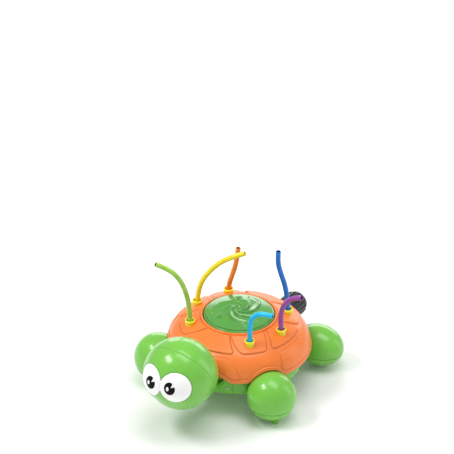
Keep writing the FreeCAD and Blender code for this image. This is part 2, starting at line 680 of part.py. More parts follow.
def spray_sockets():
    """Six yellow cups, each with a stem in its riser."""
    for name, angle in SOCKETS:
        across, along = ring_spot("socket_circle", angle)
        turned = lathe("socket_body_" + name, [
            ("socket_stem_bore", "riser_height - socket_stem"),
            ("riser_bore - press_gap", "riser_height - socket_stem"),
            ("riser_bore - press_gap", "riser_height"),
            ("riser_radius", "riser_height"),
            ("riser_radius", "socket_top - socket_rim"),
            ("socket_radius", "socket_top - socket_rim"),
            ("socket_radius", "socket_top"),
            ("socket_bore", "socket_top"),
            ("socket_bore", "tube_seat - tube_radius + 6 * press_gap"),
            ("tube_radius", "tube_seat - tube_radius - 5 * press_gap"),
            ("socket_stem_bore", "tube_seat - tube_radius - 5 * press_gap"),
        ])
        turned.setExpression("Placement.Base.x", bound(across))
        piece("socket_" + name, turned, along)


def tube_path(points):
    """Straight runs joined by tangent arcs, each as large as its two runs allow."""
    edges = []
    start = points[0]
    radii = []
    for before, corner, after in zip(points, points[1:], points[2:]):
        back = before.sub(corner)
        ahead = after.sub(corner)
        half_turn = (math.pi - back.getAngle(ahead)) / 2
        reach = 0.45 * min(back.Length, ahead.Length)
        radius = reach / math.tan(half_turn)
        radii.append(radius)
        back.normalize()
        ahead.normalize()
        enter = corner.add(back.multiply(reach))
        leave = corner.add(FreeCAD.Vector(ahead).multiply(reach))
        inward = FreeCAD.Vector(back).normalize().add(ahead).normalize()
        middle = corner.add(inward.multiply(radius / math.cos(half_turn) - radius))
        edges.append(Part.LineSegment(start, enter).toShape())
        edges.append(Part.Arc(enter, middle, leave).toShape())
        start = leave
    edges.append(Part.LineSegment(start, points[-1]).toShape())
    return Part.Wire(edges), radii


def spray_tubes():
    """Six flexible tubes, each with a ball end that rocks in its socket."""
    radius = number("tube_radius")
    for name, angle in SOCKETS:
        heading, route = ROUTES[name]
        lean = FreeCAD.Vector(math.cos(math.radians(heading)), math.sin(math.radians(heading)), 0)
        points = [FreeCAD.Vector(lean.x * out, lean.y * out, rise) for out, rise in route]
        path, radii = tube_path(points)
        first = points[1].sub(points[0])
        ring = Part.Wire(Part.makeCircle(radius, points[0], first))
        pipe = path.makePipeShell([ring], True, True)
        length = path.Length
        share = pipe.Volume / (math.pi * radius ** 2 * length)
        print("tube", name, "length %.1f" % length, "volume share %.3f" % share, end=" ")
        print("bend radii", ", ".join("%.0f" % bend for bend in radii))
        tube = DOC.addObject("Part::Feature", "tube_" + name)
        tube.Shape = pipe.fuse(Part.makeSphere(radius, points[0]))
        across, along = ring_spot("socket_circle", angle)
        put(tube, (across, along, "tube_seat"))
        piece("tube_" + name, tube, along)


def head_turn():
    """The turn that lays the seam's plane flat."""
    return FreeCAD.Rotation(FreeCAD.Vector(1, 0, 0), -number("head_lean"))


def eye_turn(side, turn, lift):
    """The turn from up to a direction on the face."""
    flat = math.radians(number(turn))
    rise = math.radians(number(lift))
    level = math.cos(rise)
    away = FreeCAD.Vector(side * math.sin(flat) * level, -math.cos(flat) * level, math.sin(rise))
    return FreeCAD.Rotation(FreeCAD.Vector(0, 0, 1), away), away


def head():
    """The ball head: face, crown, eyes, pupils, neck and screws."""
    middle = ("0", "-" + HEAD_Y, HEAD_HEIGHT)

    def half(up):
        """Everything on one side of the seam's plane."""
        turn = head_turn()
        corner = turn.multVec(FreeCAD.Vector(-100, -100, 0 if up else -200))
        normal = turn.multVec(FreeCAD.Vector(0, 0, 1))
        spot = (
            "%.6f" % corner.x,
            "%.6f - %s + head_seam * %.6f" % (corner.y, HEAD_Y, normal.y),
            "%.6f + %s + head_seam * %.6f" % (corner.z, HEAD_HEIGHT, normal.z),
        )
        return block(TOP, TOP, TOP, spot, turn)

    def eye_plug(side, grow):
        """A bulging lens on the face, grown round its rim."""
        turn, away = eye_turn(side, "eye_turn", "eye_lift")
        swollen = (
            "%.6f * %s" % (away.x, EYE_BACK),
            "%.6f * %s - %s" % (away.y, EYE_BACK, HEAD_Y),
            "%s + %.6f * %s" % (HEAD_HEIGHT, away.z, EYE_BACK),
        )
        lens = common(rod("eye_radius + " + grow, TOP, middle, turn), ball(SWELL, swollen))
        seat = ball("head_radius - eye_depth - " + grow, middle)
        start = "press_gap - " + TOP if side > 0 else "-press_gap"
        inner = block(TOP, TOP, TOP, (start, "-1.5 * " + TOP, "0"))
        return cut(lens, [seat, inner]), swollen

    def pupil_plug(side):
        """A thin round patch on an eye."""
        turn = eye_turn(side, "pupil_turn", "pupil_lift")[0]
        swollen = eye_plug(side, "0")[1]
        outer = ball(SWELL + " + pupil_rise", swollen)
        inner = ball(SWELL + " - pupil_depth", swollen)
        return common(rod("pupil_radius", TOP, middle, turn), cut(outer, [inner]))

    neck_window = neck_block("press_gap")
    skin = cut(ball("head_radius", middle), [ball("head_radius - head_wall", middle)])
    sockets = [eye_plug(side, "press_gap")[0] for name, side in SIDES]
    face = cut(common(skin, half(False)), sockets + [neck_window])
    piece("head_face", face)
    crown_skin = cut(ball("head_radius", middle), [ball("head_radius - head_wall", middle)])
    piece("head_crown", cut(common(crown_skin, half(True)), [neck_block("press_gap")]))
    for name, side in SIDES:
        eye = eye_plug(side, "0")[0]
        piece("eye_" + name, cut(eye, [pupil_plug(side)]))
        piece("pupil_" + name, pupil_plug(side))
    piece("neck", neck_block("0"), "-" + NECK_FRONT)


def neck_block(grow):
    """The flat neck between tray and head, or the window round it."""
    length = "%s - tray_radius + neck_grip + 2 * %s" % (NECK_FRONT, grow)
    spot = ("-neck_width / 2 - " + grow, "-%s - %s" % (NECK_FRONT, grow), "neck_base - " + grow)
    return block("neck_width + 2 * " + grow, length, "neck_height + 2 * " + grow, spot)


def inlet():
    """The pipe inside the body, the stem behind it and the swivel collar with its washer."""
    rise = "tank_floor - inlet_height"
    up = rod("pipe_radius", rise, ("0", PIPE_Y, "inlet_height"))
    stem_front = "(tray_radius + stem_gap)"
    length = "%s - %s" % (stem_front, PIPE_Y)
    along = rod("pipe_radius", length, ("0", PIPE_Y, "inlet_height"), LATHE_OUT)
    knee = ball("pipe_radius", ("0", PIPE_Y, "inlet_height"))
    bores = [
        rod("pipe_bore", rise, ("0", PIPE_Y, "inlet_height")),
        rod("pipe_bore", length, ("0", PIPE_Y, "inlet_height"), LATHE_OUT),
    ]
    piece("inlet_pipe", cut(fuse([up, along, knee]), bores))
    lip = "%s + collar_base + collar_play" % COLLAR_FRONT
    mouth = lip + " + stem_lip_length"
    stem = lathe("inlet_stem_turned", [
        ("pipe_bore", stem_front),
        ("stem_step_radius", stem_front),
        ("stem_step_radius", stem_front + " + stem_step_length"),
        ("inlet_radius", stem_front + " + stem_step_length"),
        ("inlet_radius", lip),
        ("stem_lip_radius", lip),
        ("stem_lip_radius", mouth),
        ("stem_mouth_radius", mouth),
        ("stem_mouth_radius", mouth + " - stem_mouth_depth"),
        ("pipe_bore", mouth + " - stem_mouth_depth"),
    ])
    lay_back(stem, "inlet_stem")
    washer = lathe("hose_washer_ring", [
        ("seal_bore", mouth),
        ("stem_lip_radius", mouth),
        ("stem_lip_radius", mouth + " + seal_height"),
        ("seal_bore", mouth + " + seal_height"),
    ])
    lay_back(washer, "hose_washer")
    seat = mouth + " - stem_mouth_depth"
    cup = "stem_mouth_radius - press_gap"
    screen = lathe("inlet_filter_disc", [
        ("0", seat),
        (cup, seat),
        (cup, seat + " + filter_height"),
        (cup + " - filter_skirt", seat + " + filter_height"),
        (cup + " - filter_skirt", seat + " + filter_wall"),
        ("0", seat + " + filter_wall"),
    ])
    lay_back(screen, "inlet_filter")
    turned = lathe("hose_collar_turned", [
        ("inlet_radius + running_gap", COLLAR_FRONT),
        ("collar_radius - rib_rise", COLLAR_FRONT),
        ("collar_radius - rib_rise", "%s - 2 * collar_bevel" % REAR),
        ("collar_radius - rib_rise - collar_bevel", REAR),
        ("thread_radius", REAR),
        ("thread_radius", "%s - thread_length" % REAR),
        ("thread_radius + collar_relief", "%s - thread_length" % REAR),
        ("thread_radius + collar_relief", COLLAR_FRONT + " + collar_base"),
        ("inlet_radius + running_gap", COLLAR_FRONT + " + collar_base"),
    ])
    ribs = []
    for index in range(RIBS):
        spot = ring_spot("collar_radius - rib_radius", index * 360 / RIBS)
        start = COLLAR_FRONT + " + rib_start"
        ribs.append(rod("rib_radius", "collar_length - rib_start - rib_end", spot + (start,)))
    inside = ("0", "0", COLLAR_FRONT + " + collar_base")
    bore = rod("thread_radius + collar_relief", "collar_length", inside)
    collar = fuse([turned, cut(fuse(ribs), [bore])])
    lay_back(collar, "hose_collar")


def lay_back(item, label):
    """Lays a piece turned about Z along the inlet's axis, pointing to the rear."""
    put(item, ("0", "0", "inlet_height"), LATHE_OUT)
    piece(label, item)


def case_screws():
    """The screws that hold the tray to the shell."""
    screws = []
    for angle in POST_ANGLES:
        spot = screw_spot(angle)
        base = "tray_floor + screw_head_height"
        shank = rod("screw_radius", "case_screw_length", spot + (base,))
        button = rod("screw_head_radius", "screw_head_height", spot + ("tray_floor",))
        screws.append(fuse([shank, button]))
    piece("case_screws", group(screws))


def check_and_write():
    """Checks every object and every sub-part, then writes one STEP file for each."""
    for item in DOC.Objects:
        bad = [word for word in item.State if "Invalid" in word or "Error" in word]
        if bad:
            raise RuntimeError("%s (%s) is %s" % (item.Name, item.Label, bad))
    for label, item in PIECES.items():
        if item.Shape.isNull() or not item.Shape.isValid():
            raise RuntimeError("%s has no valid shape" % label)
        print("%-26s solids %d volume %.0f" % (label, len(item.Shape.Solids), item.Shape.Volume))
    os.makedirs("parts", exist_ok=True)
    for label, item in PIECES.items():
        item.Shape.exportStep(os.path.join("parts", label + ".step"))


fill_sheet()
shell_cover()
base_tray()
foot_pieces()
water_chamber()
rotor()
spray_sockets()
spray_tubes()
head()
inlet()
case_screws()
DOC.recompute()
check_and_write()
print(len(PIECES), "sub-parts")
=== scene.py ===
"""Turtle lawn sprinkler: visible pieces, finishes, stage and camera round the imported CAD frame."""

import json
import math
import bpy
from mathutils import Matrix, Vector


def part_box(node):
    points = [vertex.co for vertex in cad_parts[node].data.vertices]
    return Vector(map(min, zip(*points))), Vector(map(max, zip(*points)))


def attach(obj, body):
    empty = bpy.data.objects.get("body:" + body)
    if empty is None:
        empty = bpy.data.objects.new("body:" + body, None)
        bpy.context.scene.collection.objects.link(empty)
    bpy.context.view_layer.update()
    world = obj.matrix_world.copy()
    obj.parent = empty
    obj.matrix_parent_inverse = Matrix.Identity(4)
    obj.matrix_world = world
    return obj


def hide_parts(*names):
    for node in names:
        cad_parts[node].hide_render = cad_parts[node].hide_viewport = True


bl_info = {
    "name": "Turtle sprinkler",
    "version": (1, 0, 0),
    "blender": (4, 5, 0),
    "location": "View3D > Sidebar > Sprinkler",
    "description": "Builds a turtle lawn sprinkler piece by piece on its CAD frame",
    "category": "Object",
}

import bpy
import numpy as np
from mathutils import Matrix

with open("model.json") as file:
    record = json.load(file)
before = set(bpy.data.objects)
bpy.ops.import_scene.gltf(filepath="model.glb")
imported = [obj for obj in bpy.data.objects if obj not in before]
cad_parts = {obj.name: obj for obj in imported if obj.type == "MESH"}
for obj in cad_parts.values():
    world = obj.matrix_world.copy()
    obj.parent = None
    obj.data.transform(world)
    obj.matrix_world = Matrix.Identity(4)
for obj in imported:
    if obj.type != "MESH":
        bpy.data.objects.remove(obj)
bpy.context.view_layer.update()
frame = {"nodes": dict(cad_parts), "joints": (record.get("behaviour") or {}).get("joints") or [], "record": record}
MM = 0.001
TURN = 2 * math.pi


# ---------------------------------------------------------------- places taken from the frame


def corners_of(node):
    """Lowest and highest corner of a CAD node, as arrays."""
    low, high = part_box(node)
    return np.array(low), np.array(high)


def middle_of(node):
    """Middle of a CAD node's box."""
    low, high = corners_of(node)
    return (low + high) / 2


def half_of(node):
    """Half the size of a CAD node's box."""
    low, high = corners_of(node)
    return (high - low) / 2


AXIS = middle_of("spindle") * np.array([1, 1, 0])
SHELL_LOW, SHELL_HIGH = corners_of("shell_cover")
SHELL_RADIUS = half_of("shell_cover")[0]
ROTOR_RADIUS = half_of("rotor_cover")[0]
ROTOR_LOW, ROTOR_HIGH = corners_of("rotor_cover")
WELL_RADIUS = ROTOR_RADIUS + 1.0 * MM
TRAY_LOW, TRAY_HIGH = corners_of("base_tray")
TRAY_RADIUS = half_of("chamber_upper")[0] + 9 * MM
COLOURS = ("purple", "blue", "orange", "yellow", "green", "cyan")
FEET = ("front_left", "front_right", "rear_left", "rear_right")
SIDES = (("left", 1), ("right", -1))
BODY = "turtle_body"


def foot_ball(name):
    """Middle and half sizes of a foot, from its upper shell and its lower cap."""
    upper_low, upper_high = corners_of("foot_upper_" + name)
    lower_low, lower_high = corners_of("foot_lower_" + name)
    low = np.minimum(upper_low, lower_low)
    high = np.maximum(upper_high, lower_high)
    return (low + high) / 2, (high - low) / 2


HEAD_LOW = np.minimum(corners_of("head_face")[0], corners_of("head_crown")[0])
HEAD_HIGH = np.maximum(corners_of("head_face")[1], corners_of("head_crown")[1])
HEAD_RADIUS = (HEAD_HIGH[2] - HEAD_LOW[2]) / 2
HEAD_MIDDLE = np.array([0, HEAD_HIGH[1] - HEAD_RADIUS, (HEAD_LOW[2] + HEAD_HIGH[2]) / 2])
INLET = middle_of("hose_collar")
COLLAR_RADIUS = half_of("hose_collar")[0]


# ---------------------------------------------------------------- settings


class ShellSettings(bpy.types.PropertyGroup):
    """Sizes and colour of the domed shell."""

    colour: bpy.props.FloatVectorProperty(
        name="Shell colour",
        description="Moulded orange",
        subtype="COLOR",
        size=3,
        default=(0.92, 0.215, 0.035),
    )
    panel_rise: bpy.props.FloatProperty(
        name="Panel rise", description="Scutes above the roof", default=1.4 * MM, unit="LENGTH"
    )
    groove_depth: bpy.props.FloatProperty(
        name="Groove depth", description="Lines between scutes", default=0.35 * MM, unit="LENGTH"
    )
    rim_width: bpy.props.FloatProperty(
        name="Rim width", description="Raised border along the lower edge", default=5.0 * MM, unit="LENGTH"
    )
    rim_rise: bpy.props.FloatProperty(
        name="Rim rise", description="Border above the wall", default=1.0 * MM, unit="LENGTH"
    )


class RotorSettings(bpy.types.PropertyGroup):
    """Sizes and colour of the spinning disc."""

    colour: bpy.props.FloatVectorProperty(
        name="Disc colour", description="Deeper green", subtype="COLOR", size=3, default=(0.085, 0.325, 0.05)
    )
    vane_rise: bpy.props.FloatProperty(
        name="Vane rise", description="Spiral steps above the dome", default=2.2 * MM, unit="LENGTH"
    )
    vanes: bpy.props.IntProperty(name="Vanes", description="Number of spiral steps", default=6, min=2)


class BodySettings(bpy.types.PropertyGroup):
    """Colours of head, feet, tray and eyes."""

    colour: bpy.props.FloatVectorProperty(
        name="Body colour", description="Leaf green", subtype="COLOR", size=3, default=(0.175, 0.53, 0.06)
    )
    eye: bpy.props.FloatVectorProperty(
        name="Eye white",
        description="White of the eyes",
        subtype="COLOR",
        size=3,
        default=(0.99, 0.99, 0.985),
    )
    pupil: bpy.props.FloatVectorProperty(
        name="Pupil", description="Black of the eyes", subtype="COLOR", size=3, default=(0.002, 0.002, 0.002)
    )


class SpraySettings(bpy.types.PropertyGroup):
    """Sockets and flexible tubes."""

    socket: bpy.props.FloatVectorProperty(
        name="Socket colour", description="Yellow cups", subtype="COLOR", size=3, default=(0.98, 0.91, 0.03)
    )
    radius: bpy.props.FloatProperty(
        name="Tube radius", description="Outside of a tube", default=3.2 * MM, unit="LENGTH"
    )
    wall: bpy.props.FloatProperty(name="Tube wall", description="Vinyl wall", default=1.0 * MM, unit="LENGTH")


class HoseSettings(bpy.types.PropertyGroup):
    """Swivel collar and inlet stem."""

    colour: bpy.props.FloatVectorProperty(
        name="Hose fitting", description="Dark grey", subtype="COLOR", size=3, default=(0.018, 0.021, 0.026)
    )
    ribs: bpy.props.IntProperty(name="Grip ribs", description="Ribs round the collar", default=18, min=6)


class StageSettings(bpy.types.PropertyGroup):
    """Camera and light."""

    azimuth: bpy.props.FloatProperty(
        name="Azimuth", description="Camera round the object", default=math.radians(32.9), unit="ROTATION"
    )
    elevation: bpy.props.FloatProperty(
        name="Elevation", description="Camera above level", default=math.radians(31.8), unit="ROTATION"
    )
    distance: bpy.props.FloatProperty(
        name="Distance", description="Camera from the disc", default=12.0, unit="LENGTH"
    )
    width: bpy.props.FloatProperty(
        name="View width", description="Width seen at the disc", default=0.5675, unit="LENGTH"
    )


# ---------------------------------------------------------------- surfaces


def smooth_step(value, low, high):
    """0 below low, 1 above high, and a smooth rise of 3t^2 - 2t^3 between."""
    share = np.clip((value - low) / (high - low), 0, 1)
    return share * share * (3 - 2 * share)


def bump(value, place, width):
    """A bell of height 1 and this half width round a place."""
    return np.exp(-(((value - place) / width) ** 2))


def angle_gap(angle, other):
    """Signed difference of two angles in radians, within half a turn."""
    return (angle - other + math.pi) % TURN - math.pi


def rounded(corners, steps=4):
    """An open profile through (across, up, radius) corners, each corner of which is a
    quadratic curve that leaves and joins its two runs at the corner's radius."""
    spots = np.array([corner[:2] for corner in corners], float)
    line = [spots[0]]
    share = np.linspace(0, 1, steps + 1)[:, None]
    for index in range(1, len(corners) - 1):
        back = spots[index - 1] - spots[index]
        ahead = spots[index + 1] - spots[index]
        reach = min(corners[index][2], 0.48 * np.hypot(*back), 0.48 * np.hypot(*ahead))
        start = spots[index] + back / np.hypot(*back) * reach
        end = spots[index] + ahead / np.hypot(*ahead) * reach
        line.extend((1 - share) ** 2 * start + 2 * share * (1 - share) * spots[index] + share**2 * end)
    line.append(spots[-1])
    return np.array(line)


def spaced(line, gap):
    """The same profile with its long runs divided so that no step is over gap."""
    out = [line[:1]]
    for start, end in zip(line, line[1:]):
        count = max(1, int(math.ceil(np.hypot(*(end - start)) / gap)))
        share = np.linspace(0, 1, count + 1)[1:, None]
        out.append(start + (end - start) * share)
    return np.concatenate(out)


def turned(profile, columns, middle=(0, 0, 0)):
    """A profile of (radius, height) swept round Z: x = r cos a, y = r sin a, z = height."""
    angle = np.linspace(0, TURN, columns, endpoint=False)
    radius = profile[:, 0][:, None]
    up = np.repeat(profile[:, 1][:, None], columns, axis=1)
    grid = np.stack([radius * np.cos(angle), radius * np.sin(angle), up], axis=2)
    return grid + np.array(middle)


def swept(radius, up, angle):
    """Points at x = r cos a, y = r sin a round the disc's axis, r and the height given per point."""
    return np.stack([radius * np.cos(angle), radius * np.sin(angle), up], axis=2) + AXIS


def pushed_out(grid, lift, angle):
    """Moves a surface turned round Z outward by a lift given per point."""
    grid[..., 0] += lift * np.cos(angle)
    grid[..., 1] += lift * np.sin(angle)
    return grid


def frame_of(direction):
    """Rotation whose third column is the direction and whose second leans up."""
    third = np.array(direction, float) / np.linalg.norm(direction)
    hint = np.array([0.0, 0.0, 1.0]) if abs(third[2]) < 0.95 else np.array([0.0, 1.0, 0.0])
    first = np.cross(hint, third)
    first /= np.linalg.norm(first)
    return np.stack([first, np.cross(third, first), third], axis=1)


class Skin:
    """Closed surfaces gathered into one mesh."""

    def __init__(self):
        self.points = []
        self.relief = []
        self.faces = []
        self.count = 0

    def add(self, grid, closed=False, caps=(True, True), relief=None):
        """Adds a grid of (rows, columns, 3) that wraps round its columns. closed joins the last
        row to the first, and caps close an open end with a fan to the end row's middle."""
        rows, columns = grid.shape[:2]
        index = np.arange(rows * columns).reshape(rows, columns)
        ahead = np.roll(index, -1, axis=1)
        upper = np.roll(index, -1, axis=0) if closed else index[1:]
        lower = index if closed else index[:-1]
        ahead_upper = np.roll(ahead, -1, axis=0) if closed else ahead[1:]
        ahead_lower = ahead if closed else ahead[:-1]
        quads = np.stack([lower, ahead_lower, ahead_upper, upper], axis=2).reshape(-1, 4)
        points = grid.reshape(-1, 3)
        extra = np.zeros(rows * columns) if relief is None else np.asarray(relief).reshape(-1)
        fans = []
        if not closed:
            for wanted, row, flip in ((caps[0], 0, True), (caps[1], rows - 1, False)):
                if not wanted:
                    continue
                centre = len(points)
                points = np.vstack([points, grid[row].mean(axis=0)])
                extra = np.append(extra, extra[index[row]].mean())
                first, second = (ahead[row], index[row]) if flip else (index[row], ahead[row])
                fans.append(np.stack([first, second, np.full(columns, centre)], axis=1))
        triangles = np.concatenate([quads[:, [0, 1, 2]], quads[:, [0, 2, 3]]] + fans)
        corner = points[triangles]
        volume = np.einsum("ij,ij->i", corner[:, 0], np.cross(corner[:, 1], corner[:, 2])).sum()
        parts = [quads] + fans
        if volume < 0:
            parts = [part[:, ::-1] for part in parts]
        for part in parts:
            self.faces.extend((part + self.count).tolist())
        self.points.append(points)
        self.relief.append(extra)
        self.count += len(points)
        return self

    def make(self, name, body, slot, finish, nodes=()):
        """The mesh as an object that rides on a body and stands for CAD nodes."""
        mesh = bpy.data.meshes.new(name)
        mesh.from_pydata(np.concatenate(self.points).tolist(), [], self.faces)
        mesh.polygons.foreach_set("use_smooth", np.ones(len(mesh.polygons), bool))
        # The relief attribute carries heights along with the painted shade that the finishes read.
        layer = mesh.attributes.new("relief", "FLOAT", "POINT")
        layer.data.foreach_set("value", np.concatenate(self.relief).astype(np.float32))
        mesh.update()
        piece = bpy.data.objects.new(name, mesh)
        bpy.context.scene.collection.objects.link(piece)
        mesh.materials.append(finish)
        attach(piece, body)
        if nodes:
            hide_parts(*nodes)
        return piece


# ---------------------------------------------------------------- finishes


class Signal:
    """A number in a material, so that shader maths reads as an expression."""

    def __init__(self, finish, socket):
        self.finish = finish
        self.socket = socket

    def _math(self, operation, first, second):
        return self.finish.node("ShaderNodeMath", {"operation": operation}, {0: first, 1: second})

    def __add__(self, other):
        return self._math("ADD", self, other)

    def __radd__(self, other):
        return self._math("ADD", other, self)

    def __sub__(self, other):
        return self._math("SUBTRACT", self, other)

    def __rsub__(self, other):
        return self._math("SUBTRACT", other, self)

    def __mul__(self, other):
        return self._math("MULTIPLY", self, other)

    def __rmul__(self, other):
        return self._math("MULTIPLY", other, self)

    def clamp(self, low, high, out_low=0.0, out_high=1.0):
        """This number mapped from one span to another and held inside it."""
        values = {"Value": self, 1: low, 2: high, 3: out_low, 4: out_high}
        return self.finish.node("ShaderNodeMapRange", {"clamp": True}, values)


class Finish:
    """A procedural material round one Principled shader."""

    def __init__(self, name):
        self.material = bpy.data.materials.new(name)
        self.material.use_nodes = True
        self.tree = self.material.node_tree
        self.shader = self.tree.nodes["Principled BSDF"]
        self.place = self.node("ShaderNodeTexCoord", {}, {}, "Object")

    def node(self, kind, settings, values, out=0):
        """Any node: its settings first, then the values or links of its sockets."""
        made = self.tree.nodes.new(kind)
        for name, value in settings.items():
            setattr(made, name, value)
        for key, value in values.items():
            if isinstance(value, Signal):
                self.tree.links.new(value.socket, made.inputs[key])
            else:
                made.inputs[key].default_value = value
        return Signal(self, made.outputs[out])

    def set(self, **values):
        """Constants on the shader, with _ for a space in a socket's name."""
        for name, value in values.items():
            self.shader.inputs[name.replace("_", " ")].default_value = value
        return self

    def link(self, name, value):
        """A signal into one of the shader's sockets."""
        self.tree.links.new(value.socket, self.shader.inputs[name])
        return self

    def noise(self, scale, detail=2.0, rough=0.5, place=None):
        """Noise from 0 to 1 over the object, scale in cells to a metre."""
        values = {"Vector": place or self.place, "Scale": scale, "Detail": detail, "Roughness": rough}
        return self.node("ShaderNodeTexNoise", {}, values, "Fac")

    def attribute(self, name):
        """A number stored on the mesh."""
        return self.node("ShaderNodeAttribute", {"attribute_name": name}, {}, "Fac")

    def mix(self, share, first, second):
        """One colour fading into another."""
        values = {0: share}
        for key, colour in ((6, first), (7, second)):
            values[key] = colour if isinstance(colour, Signal) else (*colour, 1)
        return self.node("ShaderNodeMix", {"data_type": "RGBA"}, values, 2)

    def raise_by(self, height, distance, strength=1.0):
        """A bump of this height signal into the shader's normal."""
        values = {"Height": height, "Distance": distance, "Strength": strength}
        self.link("Normal", self.node("ShaderNodeBump", {}, values, "Normal"))
        return self


def scaled(colour, factor):
    """A colour made lighter or darker."""
    return tuple(min(1.0, part * factor) for part in colour)


def moulded(name, colour, rough=0.28, coat=0.25, peel=0.02 * MM, relief=False, index=1.42):
    """Glossy injection-moulded plastic: faint cloudy colour, softly varied gloss, fine orange peel,
    and where the mesh stores its relief, painted shade in its grooves and a patchy painted highlight on its
    crests."""
    finish = Finish(name)
    cloud = finish.noise(22, 3.0)
    fine = finish.noise(420, 2.0)
    base = finish.mix(cloud.clamp(0.3, 0.7), scaled(colour, 0.93), scaled(colour, 1.06))
    if relief:
        height = finish.attribute("relief")
        # Painted shade: negative relief (grooves, seams, step feet) is darkened toward a third of the colour.
        base = finish.mix(height.clamp(-0.05, -1.0, 0.0, 0.85), base, scaled(colour, 0.36))
        # Painted highlight: positive relief (raised crests) is lightened in noisy patches.
        crest = (height.clamp(0.25, 1.0) * finish.noise(160).clamp(0.4, 0.7)).clamp(0, 1, 0, 0.35)
        base = finish.mix(crest, base, scaled(colour, 1.22))
    finish.link("Base Color", base)
    finish.link("Roughness", (cloud * 0.10 + fine * 0.06 + (rough - 0.08)).clamp(0.02, 1, 0.02, 1))
    finish.raise_by(finish.noise(900, 1.0) * 0.5 + finish.noise(120, 1.0), peel)
    finish.set(Coat_Weight=coat, Coat_Roughness=0.08, IOR=index)
    return finish.material


def vinyl(name, colour):
    """Soft glossy vinyl tube: streaks of tone along the wall, a faint haze, and painted shade darkening the bore.
    """
    finish = Finish(name)
    streak = finish.noise(90, 3.0)
    base = finish.mix(streak.clamp(0.3, 0.7), scaled(colour, 0.85), scaled(colour, 1.12))
    # Painted shade: the bore, marked by negative relief, is darkened nearly to black.
    bore = finish.attribute("relief").clamp(0, -1)
    base = finish.mix(bore, base, scaled(colour, 0.12))
    finish.link("Base Color", base)
    finish.link("Roughness", finish.noise(200, 2.0).clamp(0.2, 0.8, 0.18, 0.34))
    finish.raise_by(finish.noise(700, 2.0), 0.02 * MM)
    finish.set(Coat_Weight=0.12, Coat_Roughness=0.1, IOR=1.4, Subsurface_Weight=0.05, Subsurface_Scale=0.002)
    return finish.material


def grained(name, colour, rough, grain, depth, metal=0.0):
    """Satin plastic, rubber or plated metal: a fine grain and patchy gloss."""
    finish = Finish(name)
    patch = finish.noise(60, 3.0)
    base = finish.mix(patch.clamp(0.3, 0.7), scaled(colour, 0.8), scaled(colour, 1.2))
    finish.link("Base Color", base)
    finish.link("Roughness", finish.noise(260, 2.0).clamp(0.25, 0.75, rough - 0.08, rough + 0.1))
    finish.raise_by(finish.noise(grain, 2.0), depth)
    finish.set(Metallic=metal)
    return finish.material


# ---------------------------------------------------------------- the shell


ROOF_SLOPE = 18.3 / 44.5
SHOULDER_RADIUS = 34.0 * MM
SHOULDER_HEIGHT = 26.6 * MM
ROOF_START = WELL_RADIUS + 3.6 * MM
PROFILE_STEP = 0.5 * MM
FOOT_GAPS = {"front": 1.6 * MM, "rear": 5.0 * MM}
# Notches in the shell's edge as the height of their middle and their radius.
INLET_NOTCH = (INLET[2], 12 * MM)
NECK_ARCH = (1.3 * MM, 63.2 * MM)
EDGE_SOFTENING = 110
SHELL_COLUMNS = 800
SHELL_ROWS = 108
SHELL_WALL = 2.2 * MM


def roof_profile():
    """The shell's outside from the well to its lowest edge, as (radius, height): a cone, a round
    shoulder and an upright wall. Returns the points and their distance along the line."""
    tilt = math.atan(ROOF_SLOPE)
    corner = np.array([SHELL_RADIUS, SHELL_LOW[2] + SHOULDER_HEIGHT])
    reach = SHOULDER_RADIUS * math.tan((math.pi / 2 - tilt) / 2)
    centre = np.array([SHELL_RADIUS - SHOULDER_RADIUS, corner[1] - reach])
    high = np.array([ROOF_START, corner[1] + (SHELL_RADIUS - ROOF_START) * ROOF_SLOPE])
    angle = np.linspace(math.pi / 2 - tilt, 0, 60)
    arc = centre + SHOULDER_RADIUS * np.stack([np.cos(angle), np.sin(angle)], axis=1)
    low = np.array([SHELL_RADIUS, SHELL_LOW[2] - 2 * MM])
    line = spaced(np.vstack([high, arc, low]), PROFILE_STEP)
    step = np.hypot(*(line[1:] - line[:-1]).T)
    return line, np.concatenate([[0], np.cumsum(step)])


def arch_edge(angle, line, along):
    """How far down the profile the shell reaches at each angle: to its level edge, or to where the
    profile comes within a gap of a foot, the inlet or the neck. The corners are then softened by a
    weighted moving average."""
    edge = np.full(len(angle), np.interp(SHELL_LOW[2], line[::-1, 1], along[::-1]))
    spots = np.stack(
        [
            AXIS[0] + line[:, 0] * np.cos(angle)[:, None],
            AXIS[1] + line[:, 0] * np.sin(angle)[:, None],
            np.broadcast_to(line[:, 1], (len(angle), len(line))),
        ],
        axis=2,
    )
    for name in FEET:
        middle, half = foot_ball(name)
        gap = FOOT_GAPS[name.split("_")[0]]
        core = max(half[0] - half[2], 0)
        away = spots - middle
        away[..., 0] -= np.clip(away[..., 0], -core, core)
        near = np.linalg.norm(away, axis=2) < half[2] + gap
        first = np.where(near.any(axis=1), along[near.argmax(axis=1)], np.inf)
        edge = np.minimum(edge, first)
    behind = spots[..., 1] > AXIS[1]
    for place, (up, reach) in ((behind, INLET_NOTCH), (~behind, NECK_ARCH)):
        near = (np.hypot(spots[..., 0], spots[..., 2] - up) < reach) & place
        edge = np.minimum(edge, np.where(near.any(axis=1), along[near.argmax(axis=1)], np.inf))
    width = max(3, len(angle) // EDGE_SOFTENING)
    window = np.hanning(2 * width + 3)[1:-1]
    padded = np.concatenate([edge[-width:], edge, edge[:width]])
    return np.convolve(padded, window / window.sum(), mode="valid")


